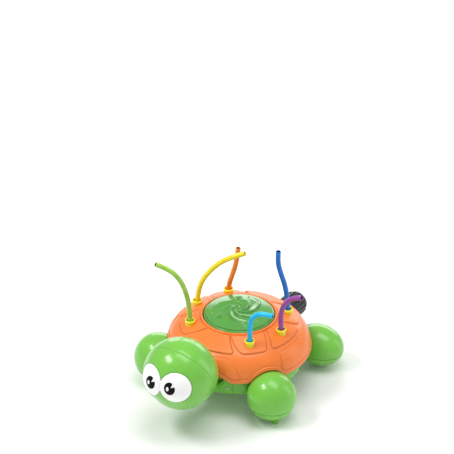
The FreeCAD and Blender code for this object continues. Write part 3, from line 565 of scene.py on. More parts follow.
# Raised plates on the shell, each as its middle angle, then the degrees to its sides at its top and
# at its bottom (toward the front, then toward the rear), its top and bottom down the profile, and
# its corner radius, in millimetres. The other side of the shell mirrors them.
PLATES = (
    (-90, (-18.7, -27.9), (18.7, 27.9), -8.0, 27.3, 5.0, 1.0),
    (-45, (-24.2, -9.8), (25.8, 15.4), -8.0, 27.4, 4.0, 1.0),
    (0, (-12.1, -23.2), (12.1, 23.2), -8.0, 27.5, 5.0, 1.0),
    (45, (-25.8, -15.4), (24.2, 9.8), -8.0, 27.4, 4.0, 1.0),
    (90, (-18.7, -27.9), (18.7, 27.9), -8.0, 27.3, 5.0, 1.0),
    (-90, (-25.0, -35.5), (25.0, 35.5), 33.8, 90.0, 6.0, 0.6),
    (0, (-17.6, -21.5), (17.6, 21.5), 33.8, 90.0, 5.0, 0.6),
    (90, (-25.0, -35.5), (25.0, 35.5), 33.8, 90.0, 6.0, 0.6),
)


def plate_gap(angle, radius, along, plate):
    """Signed distance to a rounded trapezoid plate, negative inside: the distance to its sides is
    taken round the shell and to its ends down the shell."""
    centre, near, far, top, bottom, corner, _ = plate
    top, bottom, corner = top * MM, bottom * MM, corner * MM
    share = (along - max(top, 0)) / (min(bottom, 62 * MM) - max(top, 0))
    low = np.radians(near[0] + (near[1] - near[0]) * share)
    high = np.radians(far[0] + (far[1] - far[0]) * share)
    turn = angle_gap(angle, math.radians(centre))
    side = np.maximum(low - turn, turn - high) * radius + corner
    end = np.maximum(top - along, along - bottom) + corner
    outside = np.hypot(np.maximum(side, 0), np.maximum(end, 0))
    return outside + np.minimum(np.maximum(side, end), 0) - corner


def mirrored(plate):
    """The same plate on the other side of the shell."""
    centre, near, far, *rest = plate
    return (180 - centre, (-far[0], -far[1]), (-near[0], -near[1]), *rest)


def shell_relief(angle, radius, along, edge, settings):
    """Height of the shell's relief, and its painted shade: raised plates with a crisp step and a fine
    groove at the foot of it, painted darker as shade, and a raised rim along the edge with a painted shade line
    above it."""
    left = edge - along
    above_rim = smooth_step(left, settings.rim_width, settings.rim_width + 1.2 * MM)
    height = np.zeros(along.shape)
    painted_shade = np.zeros(along.shape)
    for plate in PLATES:
        for turned_plate in {plate, mirrored(plate)}:
            gap = plate_gap(angle, radius, along, turned_plate)
            share = plate[6]
            raised = settings.panel_rise * share * (1 - smooth_step(gap, -0.8 * MM, 0.15 * MM))
            height = np.maximum(height, raised * above_rim)
            # Painted shade: a dark line along the foot of each plate's step.
            line = bump(gap, 0.45 * MM, 0.5 * MM) * share * above_rim
            painted_shade = np.maximum(painted_shade, line)
    # Painted shade: a dark line just above the raised rim.
    painted_shade = np.maximum(painted_shade, 0.6 * bump(left, settings.rim_width + 0.6 * MM, 0.6 * MM))
    height -= settings.groove_depth * painted_shade
    height += settings.rim_rise * (1 - smooth_step(left, settings.rim_width - 1.0 * MM, settings.rim_width))
    return height, painted_shade


def shell_surface(settings):
    """The dome as one closed band. Its profile starts on the roof, runs down to the edge, and back
    up inside to the start."""
    angle = np.linspace(0, TURN, SHELL_COLUMNS, endpoint=False)
    line, along = roof_profile()
    edge = arch_edge(angle, line, along)
    slope = np.gradient(line, along, axis=0)
    normal = np.stack([-slope[:, 1], slope[:, 0]], axis=1)
    normal = normal * np.sign(normal[:, :1] + 1e-9)

    def band(share, lift):
        """Rows of the roof line at shares of the way to the edge, moved along its normal."""
        spot = share[:, None] * edge[None, :]
        radius = np.interp(spot, along, line[:, 0])
        up = np.interp(spot, along, line[:, 1])
        height, painted_shade = lift(spot, radius)
        radius = radius + height * np.interp(spot, along, normal[:, 0])
        up = up + height * np.interp(spot, along, normal[:, 1])
        return radius, up, -painted_shade

    def outside(spot, radius):
        return shell_relief(angle[None, :], radius, spot, edge[None, :], settings)

    def inset(depth):
        return lambda spot, radius: (np.full(spot.shape, -depth), np.zeros(spot.shape))

    outer = band(np.linspace(0, 1, SHELL_ROWS), outside)
    under = band(np.array([1.004]), inset(0.3 * MM))
    inner = band(np.linspace(1.004, 0.0, 7), inset(SHELL_WALL))
    radius, up, relief = (np.vstack(parts) for parts in zip(outer, under, inner))
    return swept(radius, up, angle), relief


def well_surface():
    """The rotor's well: from the roof over the rounded lip, down the wall, round the floor with its
    hole, and back up outside."""
    line = roof_profile()[0]
    floor = ROTOR_LOW[2] - 2.3 * MM
    top = SHELL_HIGH[2]
    profile = rounded(
        [
            (line[0, 0] + 2.0 * MM, line[0, 1] - 2.0 * MM, 0),
            (line[0, 0] + 0.2 * MM, line[0, 1] - 0.15 * MM, 0.3 * MM),
            (WELL_RADIUS + 3.2 * MM, line[0, 1] + 0.3 * MM, 0.8 * MM),
            (WELL_RADIUS + 3.0 * MM, top, 1.6 * MM),
            (WELL_RADIUS, top, 1.4 * MM),
            (WELL_RADIUS, floor, 0.8 * MM),
            (12.0 * MM, floor, 0.3 * MM),
            (12.0 * MM, floor - SHELL_WALL, 0.3 * MM),
            (WELL_RADIUS + SHELL_WALL, floor - SHELL_WALL, 0.6 * MM),
            (WELL_RADIUS + SHELL_WALL, line[0, 1] - 4.0 * MM, 0),
        ],
        5,
    )
    return turned(spaced(profile, 8 * MM), 240, AXIS)


class SPRINKLER_OT_shell(bpy.types.Operator):
    """Domed shell with scutes, arches, lip and rotor well"""

    bl_idname = "sprinkler.shell"
    bl_label = "Shell"

    def execute(self, context):
        settings = context.scene.sprinkler_shell
        finish = moulded("orange_shell", settings.colour, rough=0.34, coat=0.12, relief=True)
        grid, relief = shell_surface(settings)
        skin = Skin().add(grid, closed=True, relief=relief)
        skin.make("shell_dome", BODY, "shell", finish, ["shell_cover"])
        well = Skin().add(well_surface(), closed=True)
        well.make("shell_well", BODY, "shell", finish, ["shell_cover"])
        return {"FINISHED"}


# ---------------------------------------------------------------- the spinning disc


ROTOR_DOME = 5.0 * MM
SPIRAL_START = math.radians(33)
SPIRAL_WIND = 1.45
SPIRAL_UNIT = 22 * MM
VANE_REACH = (38 * MM, 31 * MM)
NOZZLE_ANGLES = np.radians([-116, 4, 124])
NOZZLE_CIRCLE = 28 * MM
# Small raised dots, as millimetres from the axis and degrees on from each nozzle.
DOTS = ((32, 70), (34.5, -22))


def rotor_height(radius):
    """The domed disc: a parabola that falls from the crown to the rim."""
    rim = ROTOR_HIGH[2] - ROTOR_DOME
    return rim + ROTOR_DOME * (1 - (radius / ROTOR_RADIUS) ** 2)


def vane_relief(angle, radius, settings):
    """Spiral vanes: each rises sharply at a line that winds out from the hub as angle = b ln r, and
    sinks slowly to the next line; every other vane is shorter. Returns the height, and how near
    the foot of a step is."""
    wind = angle - SPIRAL_START - SPIRAL_WIND * np.log(radius / SPIRAL_UNIT)
    turn = wind * settings.vanes / TURN
    phase = turn % 1.0
    across = radius * TURN / settings.vanes
    edge = np.clip(1.1 * MM / across, 0.02, 0.3)
    crest = smooth_step(phase, 0, edge) * (1 - smooth_step(phase, edge, 0.92)) ** 1.4
    reach = np.where((turn // 1) % 2 < 1, *VANE_REACH)
    inside = smooth_step(radius, 3 * MM, 8 * MM) * (1 - smooth_step(radius, reach - 10 * MM, reach))
    foot = bump(np.minimum(phase, 1 - phase) * across, 0, 0.8 * MM) * inside
    return settings.vane_rise * crest * inside, foot


def away_from(angle, radius, circle, place):
    """Level distance of each point of the disc from a spot on a circle round its axis."""
    return np.hypot(
        radius * np.cos(angle) - circle * math.cos(place),
        radius * np.sin(angle) - circle * math.sin(place),
    )


def rotor_surface(settings):
    """The disc's outside from crown to foot and its hollow back to the crown: radius and angle
    drive the dome's parabola plus the vanes, the round nozzle bosses and small dots."""
    columns = 420
    angle = np.linspace(0, TURN, columns, endpoint=False)
    plateau = ROTOR_RADIUS - 3.4 * MM
    out = np.linspace(0.6 * MM, plateau, 100)
    radius = np.repeat(out[:, None], columns, axis=1)
    lift, foot_line = vane_relief(angle[None, :], radius, settings)
    boss = np.zeros_like(radius)
    for place in NOZZLE_ANGLES:
        away = away_from(angle, radius, NOZZLE_CIRCLE, place)
        boss = np.maximum(boss, 1 - smooth_step(away, 5.6 * MM, 6.4 * MM))
        lift = lift * (1 - boss) + (0.2 * MM + 1.1 * MM * bump(away, 4.9 * MM, 0.75 * MM)) * boss
    for dot, turn in DOTS:
        for place in NOZZLE_ANGLES + math.radians(turn):
            away = away_from(angle, radius, dot * MM, place)
            lift += 0.9 * MM * (1 - smooth_step(away, 0.5 * MM, 1.8 * MM))
    up = rotor_height(radius) + lift
    # Painted shade: a dark line along the foot of each vane's step, kept off the nozzle bosses.
    painted_shade = foot_line * 0.55 * (1 - boss)
    foot = ROTOR_LOW[2]
    rim = rotor_height(ROTOR_RADIUS)
    side = spaced(
        rounded(
            [
                (plateau, rotor_height(plateau), 0),
                (plateau + 0.7 * MM, rotor_height(plateau) - 0.1 * MM, 0.4 * MM),
                (plateau + 1.3 * MM, rim - 1.4 * MM, 0.5 * MM),
                (ROTOR_RADIUS, rim - 2.0 * MM, 0.8 * MM),
                (ROTOR_RADIUS, foot, 0.4 * MM),
                (ROTOR_RADIUS - 2.0 * MM, foot, 0.4 * MM),
                (ROTOR_RADIUS - 2.0 * MM, rim - 4.4 * MM, 1.0 * MM),
                (ROTOR_RADIUS * 0.5, rotor_height(ROTOR_RADIUS * 0.5) - 3.4 * MM, 1.0 * MM),
                (0.6 * MM, rotor_height(0) - 3.4 * MM, 0),
            ],
            6,
        ),
        6 * MM,
    )[1:]
    radius = np.vstack([radius, np.repeat(side[:, :1], columns, axis=1)])
    up = np.vstack([up, np.repeat(side[:, 1:], columns, axis=1)])
    # The relief holds the raised vanes, bosses and dots, which the finish lightens as a painted highlight, less
    # the painted shade at the steps' feet.
    relief = np.vstack([lift / settings.vane_rise * 0.4 - painted_shade, np.zeros((len(side), columns))])
    return swept(radius, up, angle), relief


class SPRINKLER_OT_rotor(bpy.types.Operator):
    """Spinning spray disc with spiral vanes, and its nozzle tips"""

    bl_idname = "sprinkler.rotor"
    bl_label = "Spinning disc"

    def execute(self, context):
        settings = context.scene.sprinkler_rotor
        finish = moulded("green_disc", settings.colour, rough=0.2, coat=0.4, relief=True)
        grid, relief = rotor_surface(settings)
        Skin().add(grid, relief=relief).make("rotor_disc", "rotor", "rotor_green", finish, ["rotor_cover"])
        tips = Skin()
        low = corners_of("rotor_nozzles")[0][2]
        crown = rotor_height(NOZZLE_CIRCLE) + 0.4 * MM
        profile = rounded(
            [
                (0.1 * MM, low, 0),
                (2.5 * MM, low, 0.2 * MM),
                (2.5 * MM, crown + 0.9 * MM, 0.5 * MM),
                (1.0 * MM, crown + 0.9 * MM, 0.3 * MM),
                (0.8 * MM, crown - 3 * MM, 0.2 * MM),
                (0.1 * MM, crown - 3 * MM, 0),
            ]
        )
        for place in NOZZLE_ANGLES:
            spot = AXIS + NOZZLE_CIRCLE * np.array([math.cos(place), math.sin(place), 0])
            tips.add(turned(profile, 32, spot))
        tips.make("nozzle_tips", "rotor", "rotor_green", finish, ["rotor_nozzles"])
        return {"FINISHED"}


# ---------------------------------------------------------------- feet, tray and neck


def ball_half(half, lean, cut, above, wall, columns=96, rows=40, seam=0.45 * MM):
    """Half of a hollow ball cut by a level at height cut, in the ball's own frame: points at polar
    angle p and turn a are (hx sin p cos a, hy sin p sin a, hz cos p); a small step at the cut
    leaves a seam line. lean turns the result."""
    edge = math.acos(np.clip(cut / half[2], -1, 1))
    if above:
        polar = np.linspace(0.01, edge, rows)
    else:
        polar = np.linspace(math.pi - 0.01, edge, rows)
    angle = np.linspace(0, TURN, columns, endpoint=False)
    unit = np.stack(
        [
            np.sin(polar)[:, None] * np.cos(angle),
            np.sin(polar)[:, None] * np.sin(angle),
            np.repeat(np.cos(polar)[:, None], columns, axis=1),
        ],
        axis=2,
    )
    inset = seam * bump((polar - edge)[:, None] * half[2], 0, 0.6 * MM)
    outer = unit * (half - inset[..., None])
    inner = (unit * (half - wall))[::-1]
    inner[0, :, 2] = outer[-1, :, 2]
    grid = np.concatenate([outer, inner])
    # Painted shade: the seam's inset is stored as negative relief, which the finish darkens.
    relief = np.concatenate([-0.75 * np.repeat(inset, columns, axis=1) / MM, np.zeros((rows, columns))])
    return grid @ np.array(lean).T, relief


FOOT_WALL = 2.4 * MM


class SPRINKLER_OT_feet(bpy.types.Operator):
    """Four ball feet, each an upper shell and a lower cap"""

    bl_idname = "sprinkler.feet"
    bl_label = "Feet"

    def execute(self, context):
        finish = body_finish(context)
        level = np.eye(3)
        for name in FEET:
            middle, half = foot_ball(name)
            seam = corners_of("foot_upper_" + name)[0][2] - middle[2]
            for part, above in (("upper", True), ("lower", False)):
                grid, relief = ball_half(half, level, seam, above, FOOT_WALL)
                node = "foot_%s_%s" % (part, name)
                skin = Skin().add(grid + middle, relief=relief)
                skin.make(node.replace("foot_", "foot_ball_"), BODY, "body_green", finish, [node])
        return {"FINISHED"}


def body_finish(context):
    """The leaf green plastic that head, feet, tray and neck share."""
    made = bpy.data.materials.get("leaf_green")
    if made:
        return made
    return moulded("leaf_green", context.scene.sprinkler_body.colour, rough=0.26, coat=0.35, relief=True)


TRAY_SEAMS = np.radians([-62.7, -117.3, 62.7, 117.3])
TRAY_SLOTS = np.radians([-73, -107, -50.8, -129.2])
TRAY_WALL = 2.2 * MM
TRAY_COLUMNS = 480
TRAY_FOOT_GAP = 2.5 * MM
LEG_HEIGHT = 42.0 * MM
LEG_RADIUS = 7 * MM


def tray_cut(angle, radius, up):
    """The tray's radius drawn in round the feet: where the line from the axis at this angle meets
    the grown foot, a ball, the radius is no more than side cos t - sqrt(reach^2 - (side sin t)^2)."""
    for name in FEET:
        middle, half = foot_ball(name)
        away = middle - AXIS
        reach = half[0] + TRAY_FOOT_GAP
        level = np.clip(1 - ((up - middle[2]) / (half[2] + TRAY_FOOT_GAP)) ** 2, 0, 1)
        side = np.hypot(away[0], away[1])
        turn = angle_gap(angle, math.atan2(away[1], away[0]))
        inside = reach**2 * level - (side * np.sin(turn)) ** 2
        bite = side * np.cos(turn) - np.sqrt(np.maximum(inside, 0))
        radius = np.where((inside > 0) & (np.abs(turn) < 1) & (bite < radius), bite, radius)
    return radius


def tray_leg(name):
    """A round leg from halfway out to the middle of a foot."""
    away = (foot_ball(name)[0] - AXIS) * np.array([1, 1, 0])
    reach = np.linalg.norm(away) * 0.5
    profile = [(0.2 * MM, 0, 0), (LEG_RADIUS, 0, MM), (LEG_RADIUS, reach, MM), (0.2 * MM, reach, 0)]
    return turned(rounded(profile), 40) @ frame_of(away).T + AXIS + away * 0.5 + [0, 0, LEG_HEIGHT]


class SPRINKLER_OT_tray(bpy.types.Operator):
    """Green base tray, drawn in round the feet, with upright seams and vent slots"""

    bl_idname = "sprinkler.tray"
    bl_label = "Base tray"

    def execute(self, context):
        angle = np.linspace(0, TURN, TRAY_COLUMNS, endpoint=False)
        low, high = TRAY_LOW[2], TRAY_HIGH[2]
        profile = spaced(
            rounded(
                [
                    (0.5 * MM, low, 0),
                    (TRAY_RADIUS, low, 4.5 * MM),
                    (TRAY_RADIUS, high, 0.5 * MM),
                    (TRAY_RADIUS - TRAY_WALL, high, 0.5 * MM),
                    (TRAY_RADIUS - TRAY_WALL, low + TRAY_WALL, 3.0 * MM),
                    (0.5 * MM, low + TRAY_WALL, 0),
                ],
                6,
            ),
            2.5 * MM,
        )
        radius = np.repeat(profile[:, :1], TRAY_COLUMNS, axis=1)
        up = np.repeat(profile[:, 1:], TRAY_COLUMNS, axis=1)
        outside = (radius > TRAY_RADIUS - 1.2 * MM) & (up < high - MM)
        seams, slots = (
            [np.abs(angle_gap(angle, place)) * TRAY_RADIUS for place in places]
            for places in (TRAY_SEAMS, TRAY_SLOTS)
        )
        seam = sum(bump(away, 0, 0.7 * MM) for away in seams)
        slot = sum(1 - smooth_step(away, 1.2 * MM, 1.9 * MM) for away in slots)
        slot = slot[None, :] * smooth_step(up, SHELL_LOW[2] - 9 * MM, SHELL_LOW[2] - 7 * MM)
        # Painted shade: the seams and vent slots go into the relief as negative values, which the finish darkens;
        # the next line also sinks them.
        relief = np.where(outside, -np.maximum(0.7 * seam[None, :], 1.6 * slot), 0.0)
        radius = radius + 0.7 * MM * relief
        radius = tray_cut(angle, radius, up)
        grid = swept(radius, up, angle)
        skin = Skin().add(grid, relief=relief)
        for name in FEET:
            skin.add(tray_leg(name))
        skin.make("base_bowl", BODY, "body_green", body_finish(context), ["base_tray"])
        return {"FINISHED"}


class SPRINKLER_OT_neck(bpy.types.Operator):
    """Flat rounded bar between tray and head"""

    bl_idname = "sprinkler.neck"
    bl_label = "Neck"

    def execute(self, context):
        low, high = corners_of("neck")
        middle, half = (low + high) / 2, (high - low) / 2
        columns = 96
        angle = np.linspace(0, TURN, columns, endpoint=False)
        power = 0.45
        across = half[0] * np.sign(np.cos(angle)) * np.abs(np.cos(angle)) ** power
        up = half[2] * np.sign(np.sin(angle)) * np.abs(np.sin(angle)) ** power
        along = np.concatenate([[-1.0, -0.985], np.linspace(-0.95, 0.95, 20), [0.985, 1.0]])
        ease = np.array([0.93, 0.98] + [1.0] * 20 + [0.98, 0.93])[:, None]
        reach = np.repeat(along[:, None] * half[1], columns, axis=1)
        grid = np.stack([across * ease, reach, up * ease], axis=2)
        Skin().add(grid + middle).make("neck_bar", BODY, "body_green", body_finish(context), ["neck"])
        return {"FINISHED"}


# ---------------------------------------------------------------- head and eyes


def heading(side, flat, rise):
    """Unit direction this many degrees to one side of straight ahead and this many above level."""
    flat, rise = math.radians(flat), math.radians(rise)
    level = math.cos(rise)
    return np.array([side * math.sin(flat) * level, -math.cos(flat) * level, math.sin(rise)])


EYE_HEADINGS = {name: heading(side, 25.5, 6.6) for name, side in SIDES}
GAZE_HEADINGS = {name: heading(side, 17.0, 7.5) for name, side in SIDES}
HEAD_LEAN = math.radians(64.35)
HEAD_SEAM = 4.1 * MM
HEAD_WALL = 2.6 * MM
EYE_RADIUS = 20.0 * MM
EYE_BULGE = 3.5 * MM


def eye_ball():
    """Radius of the ball that an eye's lens is cut from, and how far its middle stands from the
    head's: the ball passes through the eye's rim on the head and through its crown."""
    depth = HEAD_RADIUS - math.sqrt(HEAD_RADIUS**2 - EYE_RADIUS**2) + EYE_BULGE
    radius = (EYE_RADIUS**2 + depth**2) / (2 * depth)
    return radius, HEAD_RADIUS + EYE_BULGE - radius


# Where the head swells: a direction on its left side, the rise there and the bell's width.
HEAD_SWELLS = (
    ((0.78, -0.38, -0.40), 0.6 * MM, 0.55),
    ((0.84, 0.52, -0.12), 2.2 * MM, 0.6),
    ((0.26, -0.76, -0.6), -2.6 * MM, 0.3),
)


def head_relief(unit):
    """Swell of the head along each direction, as bells round a few spots: full cheeks and jowls, a
    flattened chin and a groove round each eye. Returns the swell and the painted shade in the grooves."""
    lift = np.zeros(unit.shape[:-1])
    for side in (1, -1):
        for spot, rise, width in HEAD_SWELLS:
            away = np.linalg.norm(unit - np.array([side, 1, 1]) * spot, axis=-1)
            lift += rise * bump(away, 0, width)
    painted_shade = np.zeros(unit.shape[:-1])
    for away in EYE_HEADINGS.values():
        arc = np.arccos(np.clip(unit @ away, -1, 1)) * HEAD_RADIUS
        rim = math.asin(EYE_RADIUS / HEAD_RADIUS) * HEAD_RADIUS
        lift = lift - 0.7 * MM * bump(arc, rim + 0.3 * MM, 0.8 * MM)
        # Painted shade: the groove round each eye is darkened.
        painted_shade = painted_shade - 0.8 * bump(arc, rim + 0.3 * MM, 0.8 * MM)
    return lift, painted_shade


class SPRINKLER_OT_head(bpy.types.Operator):
    """Ball head in two halves with a leaning seam"""

    bl_idname = "sprinkler.head"
    bl_label = "Head"

    def execute(self, context):
        finish = body_finish(context)
        level, rise = math.cos(HEAD_LEAN), math.sin(HEAD_LEAN)
        turn = np.array([[1, 0, 0], [0, level, rise], [0, -rise, level]])
        half = np.full(3, HEAD_RADIUS)
        for node, above in (("head_crown", True), ("head_face", False)):
            grid, relief = ball_half(half, turn, HEAD_SEAM, above, HEAD_WALL, 240, 110, 0.28 * MM)
            rows = len(grid) // 2
            unit = grid / np.linalg.norm(grid, axis=2, keepdims=True)
            lift, painted_shade = head_relief(unit)
            lift[rows:] = 0
            painted_shade[rows:] = 0
            skin = Skin().add(grid + unit * lift[..., None] + HEAD_MIDDLE, relief=relief + painted_shade)
            skin.make(node.replace("head_", "head_shell_"), BODY, "body_green", finish, [node])
        return {"FINISHED"}


class SPRINKLER_OT_eyes(bpy.types.Operator):
    """Bulging white eyes with notched oval pupils and a highlight spot"""

    bl_idname = "sprinkler.eyes"
    bl_label = "Eyes"

    def execute(self, context):
        colours = context.scene.sprinkler_body
        white = moulded("eye_white", colours.eye, rough=0.2, coat=0.5)
        black = moulded("pupil_black", colours.pupil, rough=0.45, coat=0.0, index=1.2)
        radius, back = eye_ball()
        for name, side in SIDES:
            away = EYE_HEADINGS[name]
            turn = frame_of(away)
            centre = HEAD_MIDDLE + away * back
            rim = math.asin(EYE_RADIUS / radius)
            polar = np.concatenate([np.linspace(0.01, rim - 0.05, 40), [rim - 0.02, rim]])
            outer = np.stack([radius * np.sin(polar), radius * np.cos(polar)], axis=1)
            low = outer[-1, 1]
            seat = np.array([[EYE_RADIUS - 0.3 * MM, low - 1.4 * MM], [0.3 * MM, low - 1.0 * MM]])
            grid = turned(np.vstack([outer, seat]), 120) @ turn.T + centre
            grid[..., 0] = side * np.maximum(side * grid[..., 0], 0.1 * MM)
            Skin().add(grid).make("eye_lens_" + name, BODY, "eye_white", white, ["eye_" + name])
            gaze = GAZE_HEADINGS[name]
            look = HEAD_MIDDLE + gaze * ray_to_ball(gaze, away * back, radius) - centre
            pupil = Skin().add(patch(look, radius, pupil_outline, 0.35 * MM) + centre)
            pupil.make("pupil_patch_" + name, BODY, "pupil_black", black, ["pupil_" + name])
            glint = look + frame_of(look) @ np.array([-2.4 * MM, -0.4 * MM, 0])
            shine = patch(glint, radius, glint_outline, 0.55 * MM)
            Skin().add(shine + centre).make("pupil_spot_" + name, BODY, "eye_white", white)
        return {"FINISHED"}


def ray_to_ball(direction, centre, radius):
    """How far a ray from the origin goes before it leaves a ball."""
    along = direction @ centre
    return along + math.sqrt(along**2 - centre @ centre + radius**2)


def pupil_outline(angle):
    """An upright oval with a wedge cut from its upper right: the oval's polar radius, less a
    smooth notch round one angle."""
    oval = 1 / np.hypot(np.cos(angle) / (7.5 * MM), np.sin(angle) / (8.9 * MM))
    notch = np.abs(angle_gap(angle, math.radians(46)))
    return oval * (1 - 0.68 * (1 - smooth_step(notch, 0.12, 0.36)))


def glint_outline(angle):
    """A small upright oval."""
    return 1 / np.hypot(np.cos(angle) / (1.8 * MM), np.sin(angle) / (2.9 * MM))


def patch(spot, radius, outline, rise):
    """A thin raised patch on a ball round the origin: polar points out to the outline, laid in the
    plane square to the spot, then pushed out to the ball's radius plus the rise."""
    turn = frame_of(spot)
    angle = np.linspace(0, TURN, 180, endpoint=False)
    share = np.concatenate([np.linspace(0.02, 0.93, 12), [0.98, 1.0, 1.0, 0.6, 0.05]])
    lift = np.concatenate([np.full(12, rise), [rise * 0.85, rise * 0.4], [-0.4 * MM, -0.4 * MM, -0.4 * MM]])
    flat = share[:, None] * outline(angle)[None, :]
    plane = np.stack([flat * np.cos(angle), flat * np.sin(angle), np.zeros_like(flat)], axis=2)
    place = plane @ turn.T + spot
    return place / np.linalg.norm(place, axis=2, keepdims=True) * (radius + lift)[:, None, None]


# ---------------------------------------------------------------- sockets and spray tubes


CUP_COLUMNS = 96
CUP_FLUTES = 12
FLUTE_DEPTH = 0.55 * MM


class SPRINKLER_OT_sockets(bpy.types.Operator):
    """Six yellow cups with a rim and a fluted skirt"""

    bl_idname = "sprinkler.sockets"
    bl_label = "Spray sockets"

    def execute(self, context):
        yellow = context.scene.sprinkler_spray.socket
        finish = moulded("yellow_socket", yellow, rough=0.32, coat=0.2, relief=True)
        for colour in COLOURS:
            low, high = corners_of("socket_" + colour)
            middle = (low + high) / 2 * np.array([1, 1, 0])
            top = high[2]
            profile = spaced(
                rounded(
                    [
                        (1.6 * MM, low[2], 0),
                        (2.9 * MM, low[2], 0.2 * MM),
                        (2.9 * MM, low[2] + 4 * MM, 0.2 * MM),
                        (5.8 * MM, low[2] + 4 * MM, 0.3 * MM),
                        (5.8 * MM, top - 3.2 * MM, 0.3 * MM),
                        (6.3 * MM, top - 2.8 * MM, 0.3 * MM),
                        (6.3 * MM, top, 0.7 * MM),
                        (4.8 * MM, top, 0.6 * MM),
                        (4.8 * MM, top - 6.1 * MM, 0.4 * MM),
                        (1.6 * MM, top - 7.0 * MM, 0),
                    ],
                    4,
                ),
                1.2 * MM,
            )
            grid = turned(profile, CUP_COLUMNS, middle)
            angle = np.linspace(0, TURN, CUP_COLUMNS, endpoint=False)
            skirt = (profile[:, 0] > 5.2 * MM) & (profile[:, 1] < top - 3 * MM)
            flute = 0.5 - 0.5 * np.cos(angle * CUP_FLUTES)
            inset = np.where(skirt[:, None], flute[None, :] * FLUTE_DEPTH, 0)
            # Painted shade: the flutes' depth goes into the relief, which the finish darkens.
            cup = Skin().add(pushed_out(grid, -inset, angle), closed=True, relief=-inset / MM)
            cup.make("cup_" + colour, BODY, "socket_yellow", finish, ["socket_" + colour])
        return {"FINISHED"}


# Each tube bends in one upright plane: its heading in degrees, its real length, and its route as
# (reach, rise) from the middle of its ball end, in millimetres.
TUBES = {
    "purple": (0, 73.7, [(0, 0), (-0.6, 15), (0.4, 30), (6.5, 45), (17.5, 54.5), (30.2, 59)]),
    "blue": (213, 88.8, [(0, 0), (0.8, 20), (3.8, 39), (9.8, 58), (12.9, 73), (12.0, 87.4)]),
    "orange": (35, 63.7, [(0, 0), (0.6, 10), (5.6, 25.5), (10.4, 43.5), (12.2, 62.3)]),
    "yellow": (25.5, 104.6, [(0, 0), (1.6, 18), (8, 36), (20, 52), (36, 66.5), (60.3, 76.5)]),
    "green": (225, 107.0, [(0, 0), (0.8, 21), (4.6, 43), (12.5, 64), (26, 81), (43.6, 90.5)]),
    "cyan": (10, 67.9, [(0, 0), (0.8, 13), (0.4, 26), (3.2, 37.5), (12, 45), (22, 46.8), (31, 46.2)]),
}
TUBE_TINTS = {
    "purple": (0.31, 0.07, 0.34),
    "blue": (0.003, 0.155, 0.58),
    "orange": (0.88, 0.25, 0.03),
    "yellow": (0.98, 0.72, 0.025),
    "green": (0.37, 0.63, 0.09),
    "cyan": (0.006, 0.50, 0.90),
}
TUBE_COLUMNS = 28
BORE_ROWS = 40


def smooth_route(points):
    """Points of the quadratic NURBS curve whose control points are given."""
    curve = bpy.data.curves.new("route", "CURVE")
    curve.dimensions = "3D"
    curve.resolution_u = 16
    spline = curve.splines.new("NURBS")
    spline.points.add(len(points) - 1)
    for point, place in zip(spline.points, points):
        point.co = (*place, 1)
    spline.order_u = 3
    spline.use_endpoint_u = True
    holder = bpy.data.objects.new("route", curve)
    line = bpy.data.meshes.new_from_object(holder)
    spots = np.empty(len(line.vertices) * 3)
    line.vertices.foreach_get("co", spots)
    bpy.data.objects.remove(holder)
    bpy.data.curves.remove(curve)
    bpy.data.meshes.remove(line)
    return spots.reshape(-1, 3)


def tube_grid(path, radius, wall, side):
    """A hollow tube round a path in one plane: at each point the ring is radius times (cos a along
    the plane's normal + sin a along the path's own normal); the end is rounded and the bore runs
    back inside."""
    ahead = np.gradient(path, axis=0)
    ahead /= np.linalg.norm(ahead, axis=1, keepdims=True)
    normal = np.cross(ahead, side)
    end = len(path) - 1
    back = np.arange(end, max(end - BORE_ROWS, 1), -2)
    rows = np.concatenate([np.arange(end + 1), [end, end, end], back])
    inner = radius - wall
    lip = [radius - 0.15 * MM, (radius + inner) / 2, inner + 0.15 * MM]
    sizes = np.concatenate([np.full(end + 1, radius), lip, np.full(len(back), inner)])
    bulge = [0.15 * MM, 0.22 * MM, 0.12 * MM]
    shift = np.concatenate([np.zeros(end + 1), bulge, np.zeros(len(back))])
    angle = np.linspace(0, TURN, TUBE_COLUMNS, endpoint=False)
    centre = path[rows] + ahead[rows] * shift[:, None]
    ring = np.cos(angle)[None, :, None] * side + np.sin(angle)[None, :, None] * normal[rows][:, None, :]
    grid = centre[:, None, :] + ring * sizes[:, None, None]
    # Painted shade: the bore rows get a relief of -1, which the finish darkens.
    relief = np.where(sizes < inner + 0.01 * MM, -1.0, 0.0)
    return grid, np.repeat(relief[:, None], TUBE_COLUMNS, axis=1)


class SPRINKLER_OT_tubes(bpy.types.Operator):
    """Six flexible spray tubes, each starting at its own joint's pivot and riding on its own body"""

    bl_idname = "sprinkler.tubes"
    bl_label = "Spray tubes"

    def execute(self, context):
        settings = context.scene.sprinkler_spray
        joints = {joint["name"]: joint for joint in frame["joints"]}
        for colour, (degrees, length, route) in TUBES.items():
            pivot = np.array(joints["tube_sway_" + colour]["pos_m"])
            turn = math.radians(degrees)
            lean = np.array([math.cos(turn), math.sin(turn), 0])
            points = [pivot + (lean * out + np.array([0, 0, rise])) * MM for out, rise in route]
            path = smooth_route(points)
            side = np.array([-lean[1], lean[0], 0])
            grid, relief = tube_grid(path, settings.radius, settings.wall, side)
            skin = Skin().add(grid, relief=relief)
            finish = vinyl(colour + "_vinyl", TUBE_TINTS[colour])
            node = "tube_" + colour
            tube = skin.make("hose_" + colour, "spray_" + node, node, finish, [node])
        return {"FINISHED"}


# ---------------------------------------------------------------- hose inlet


RUBBER = (0.012, 0.012, 0.012)
RIB_COLUMNS = 14
THREAD_PITCH = 2.2 * MM


def laid_back(grid):
    """A shape turned round Z laid along the inlet's axis, its top to the rear."""
    turn = np.array([[1, 0, 0], [0, 0, 1], [0, -1, 0]], float)
    return grid @ turn.T + np.array([INLET[0], AXIS[1], INLET[2]])


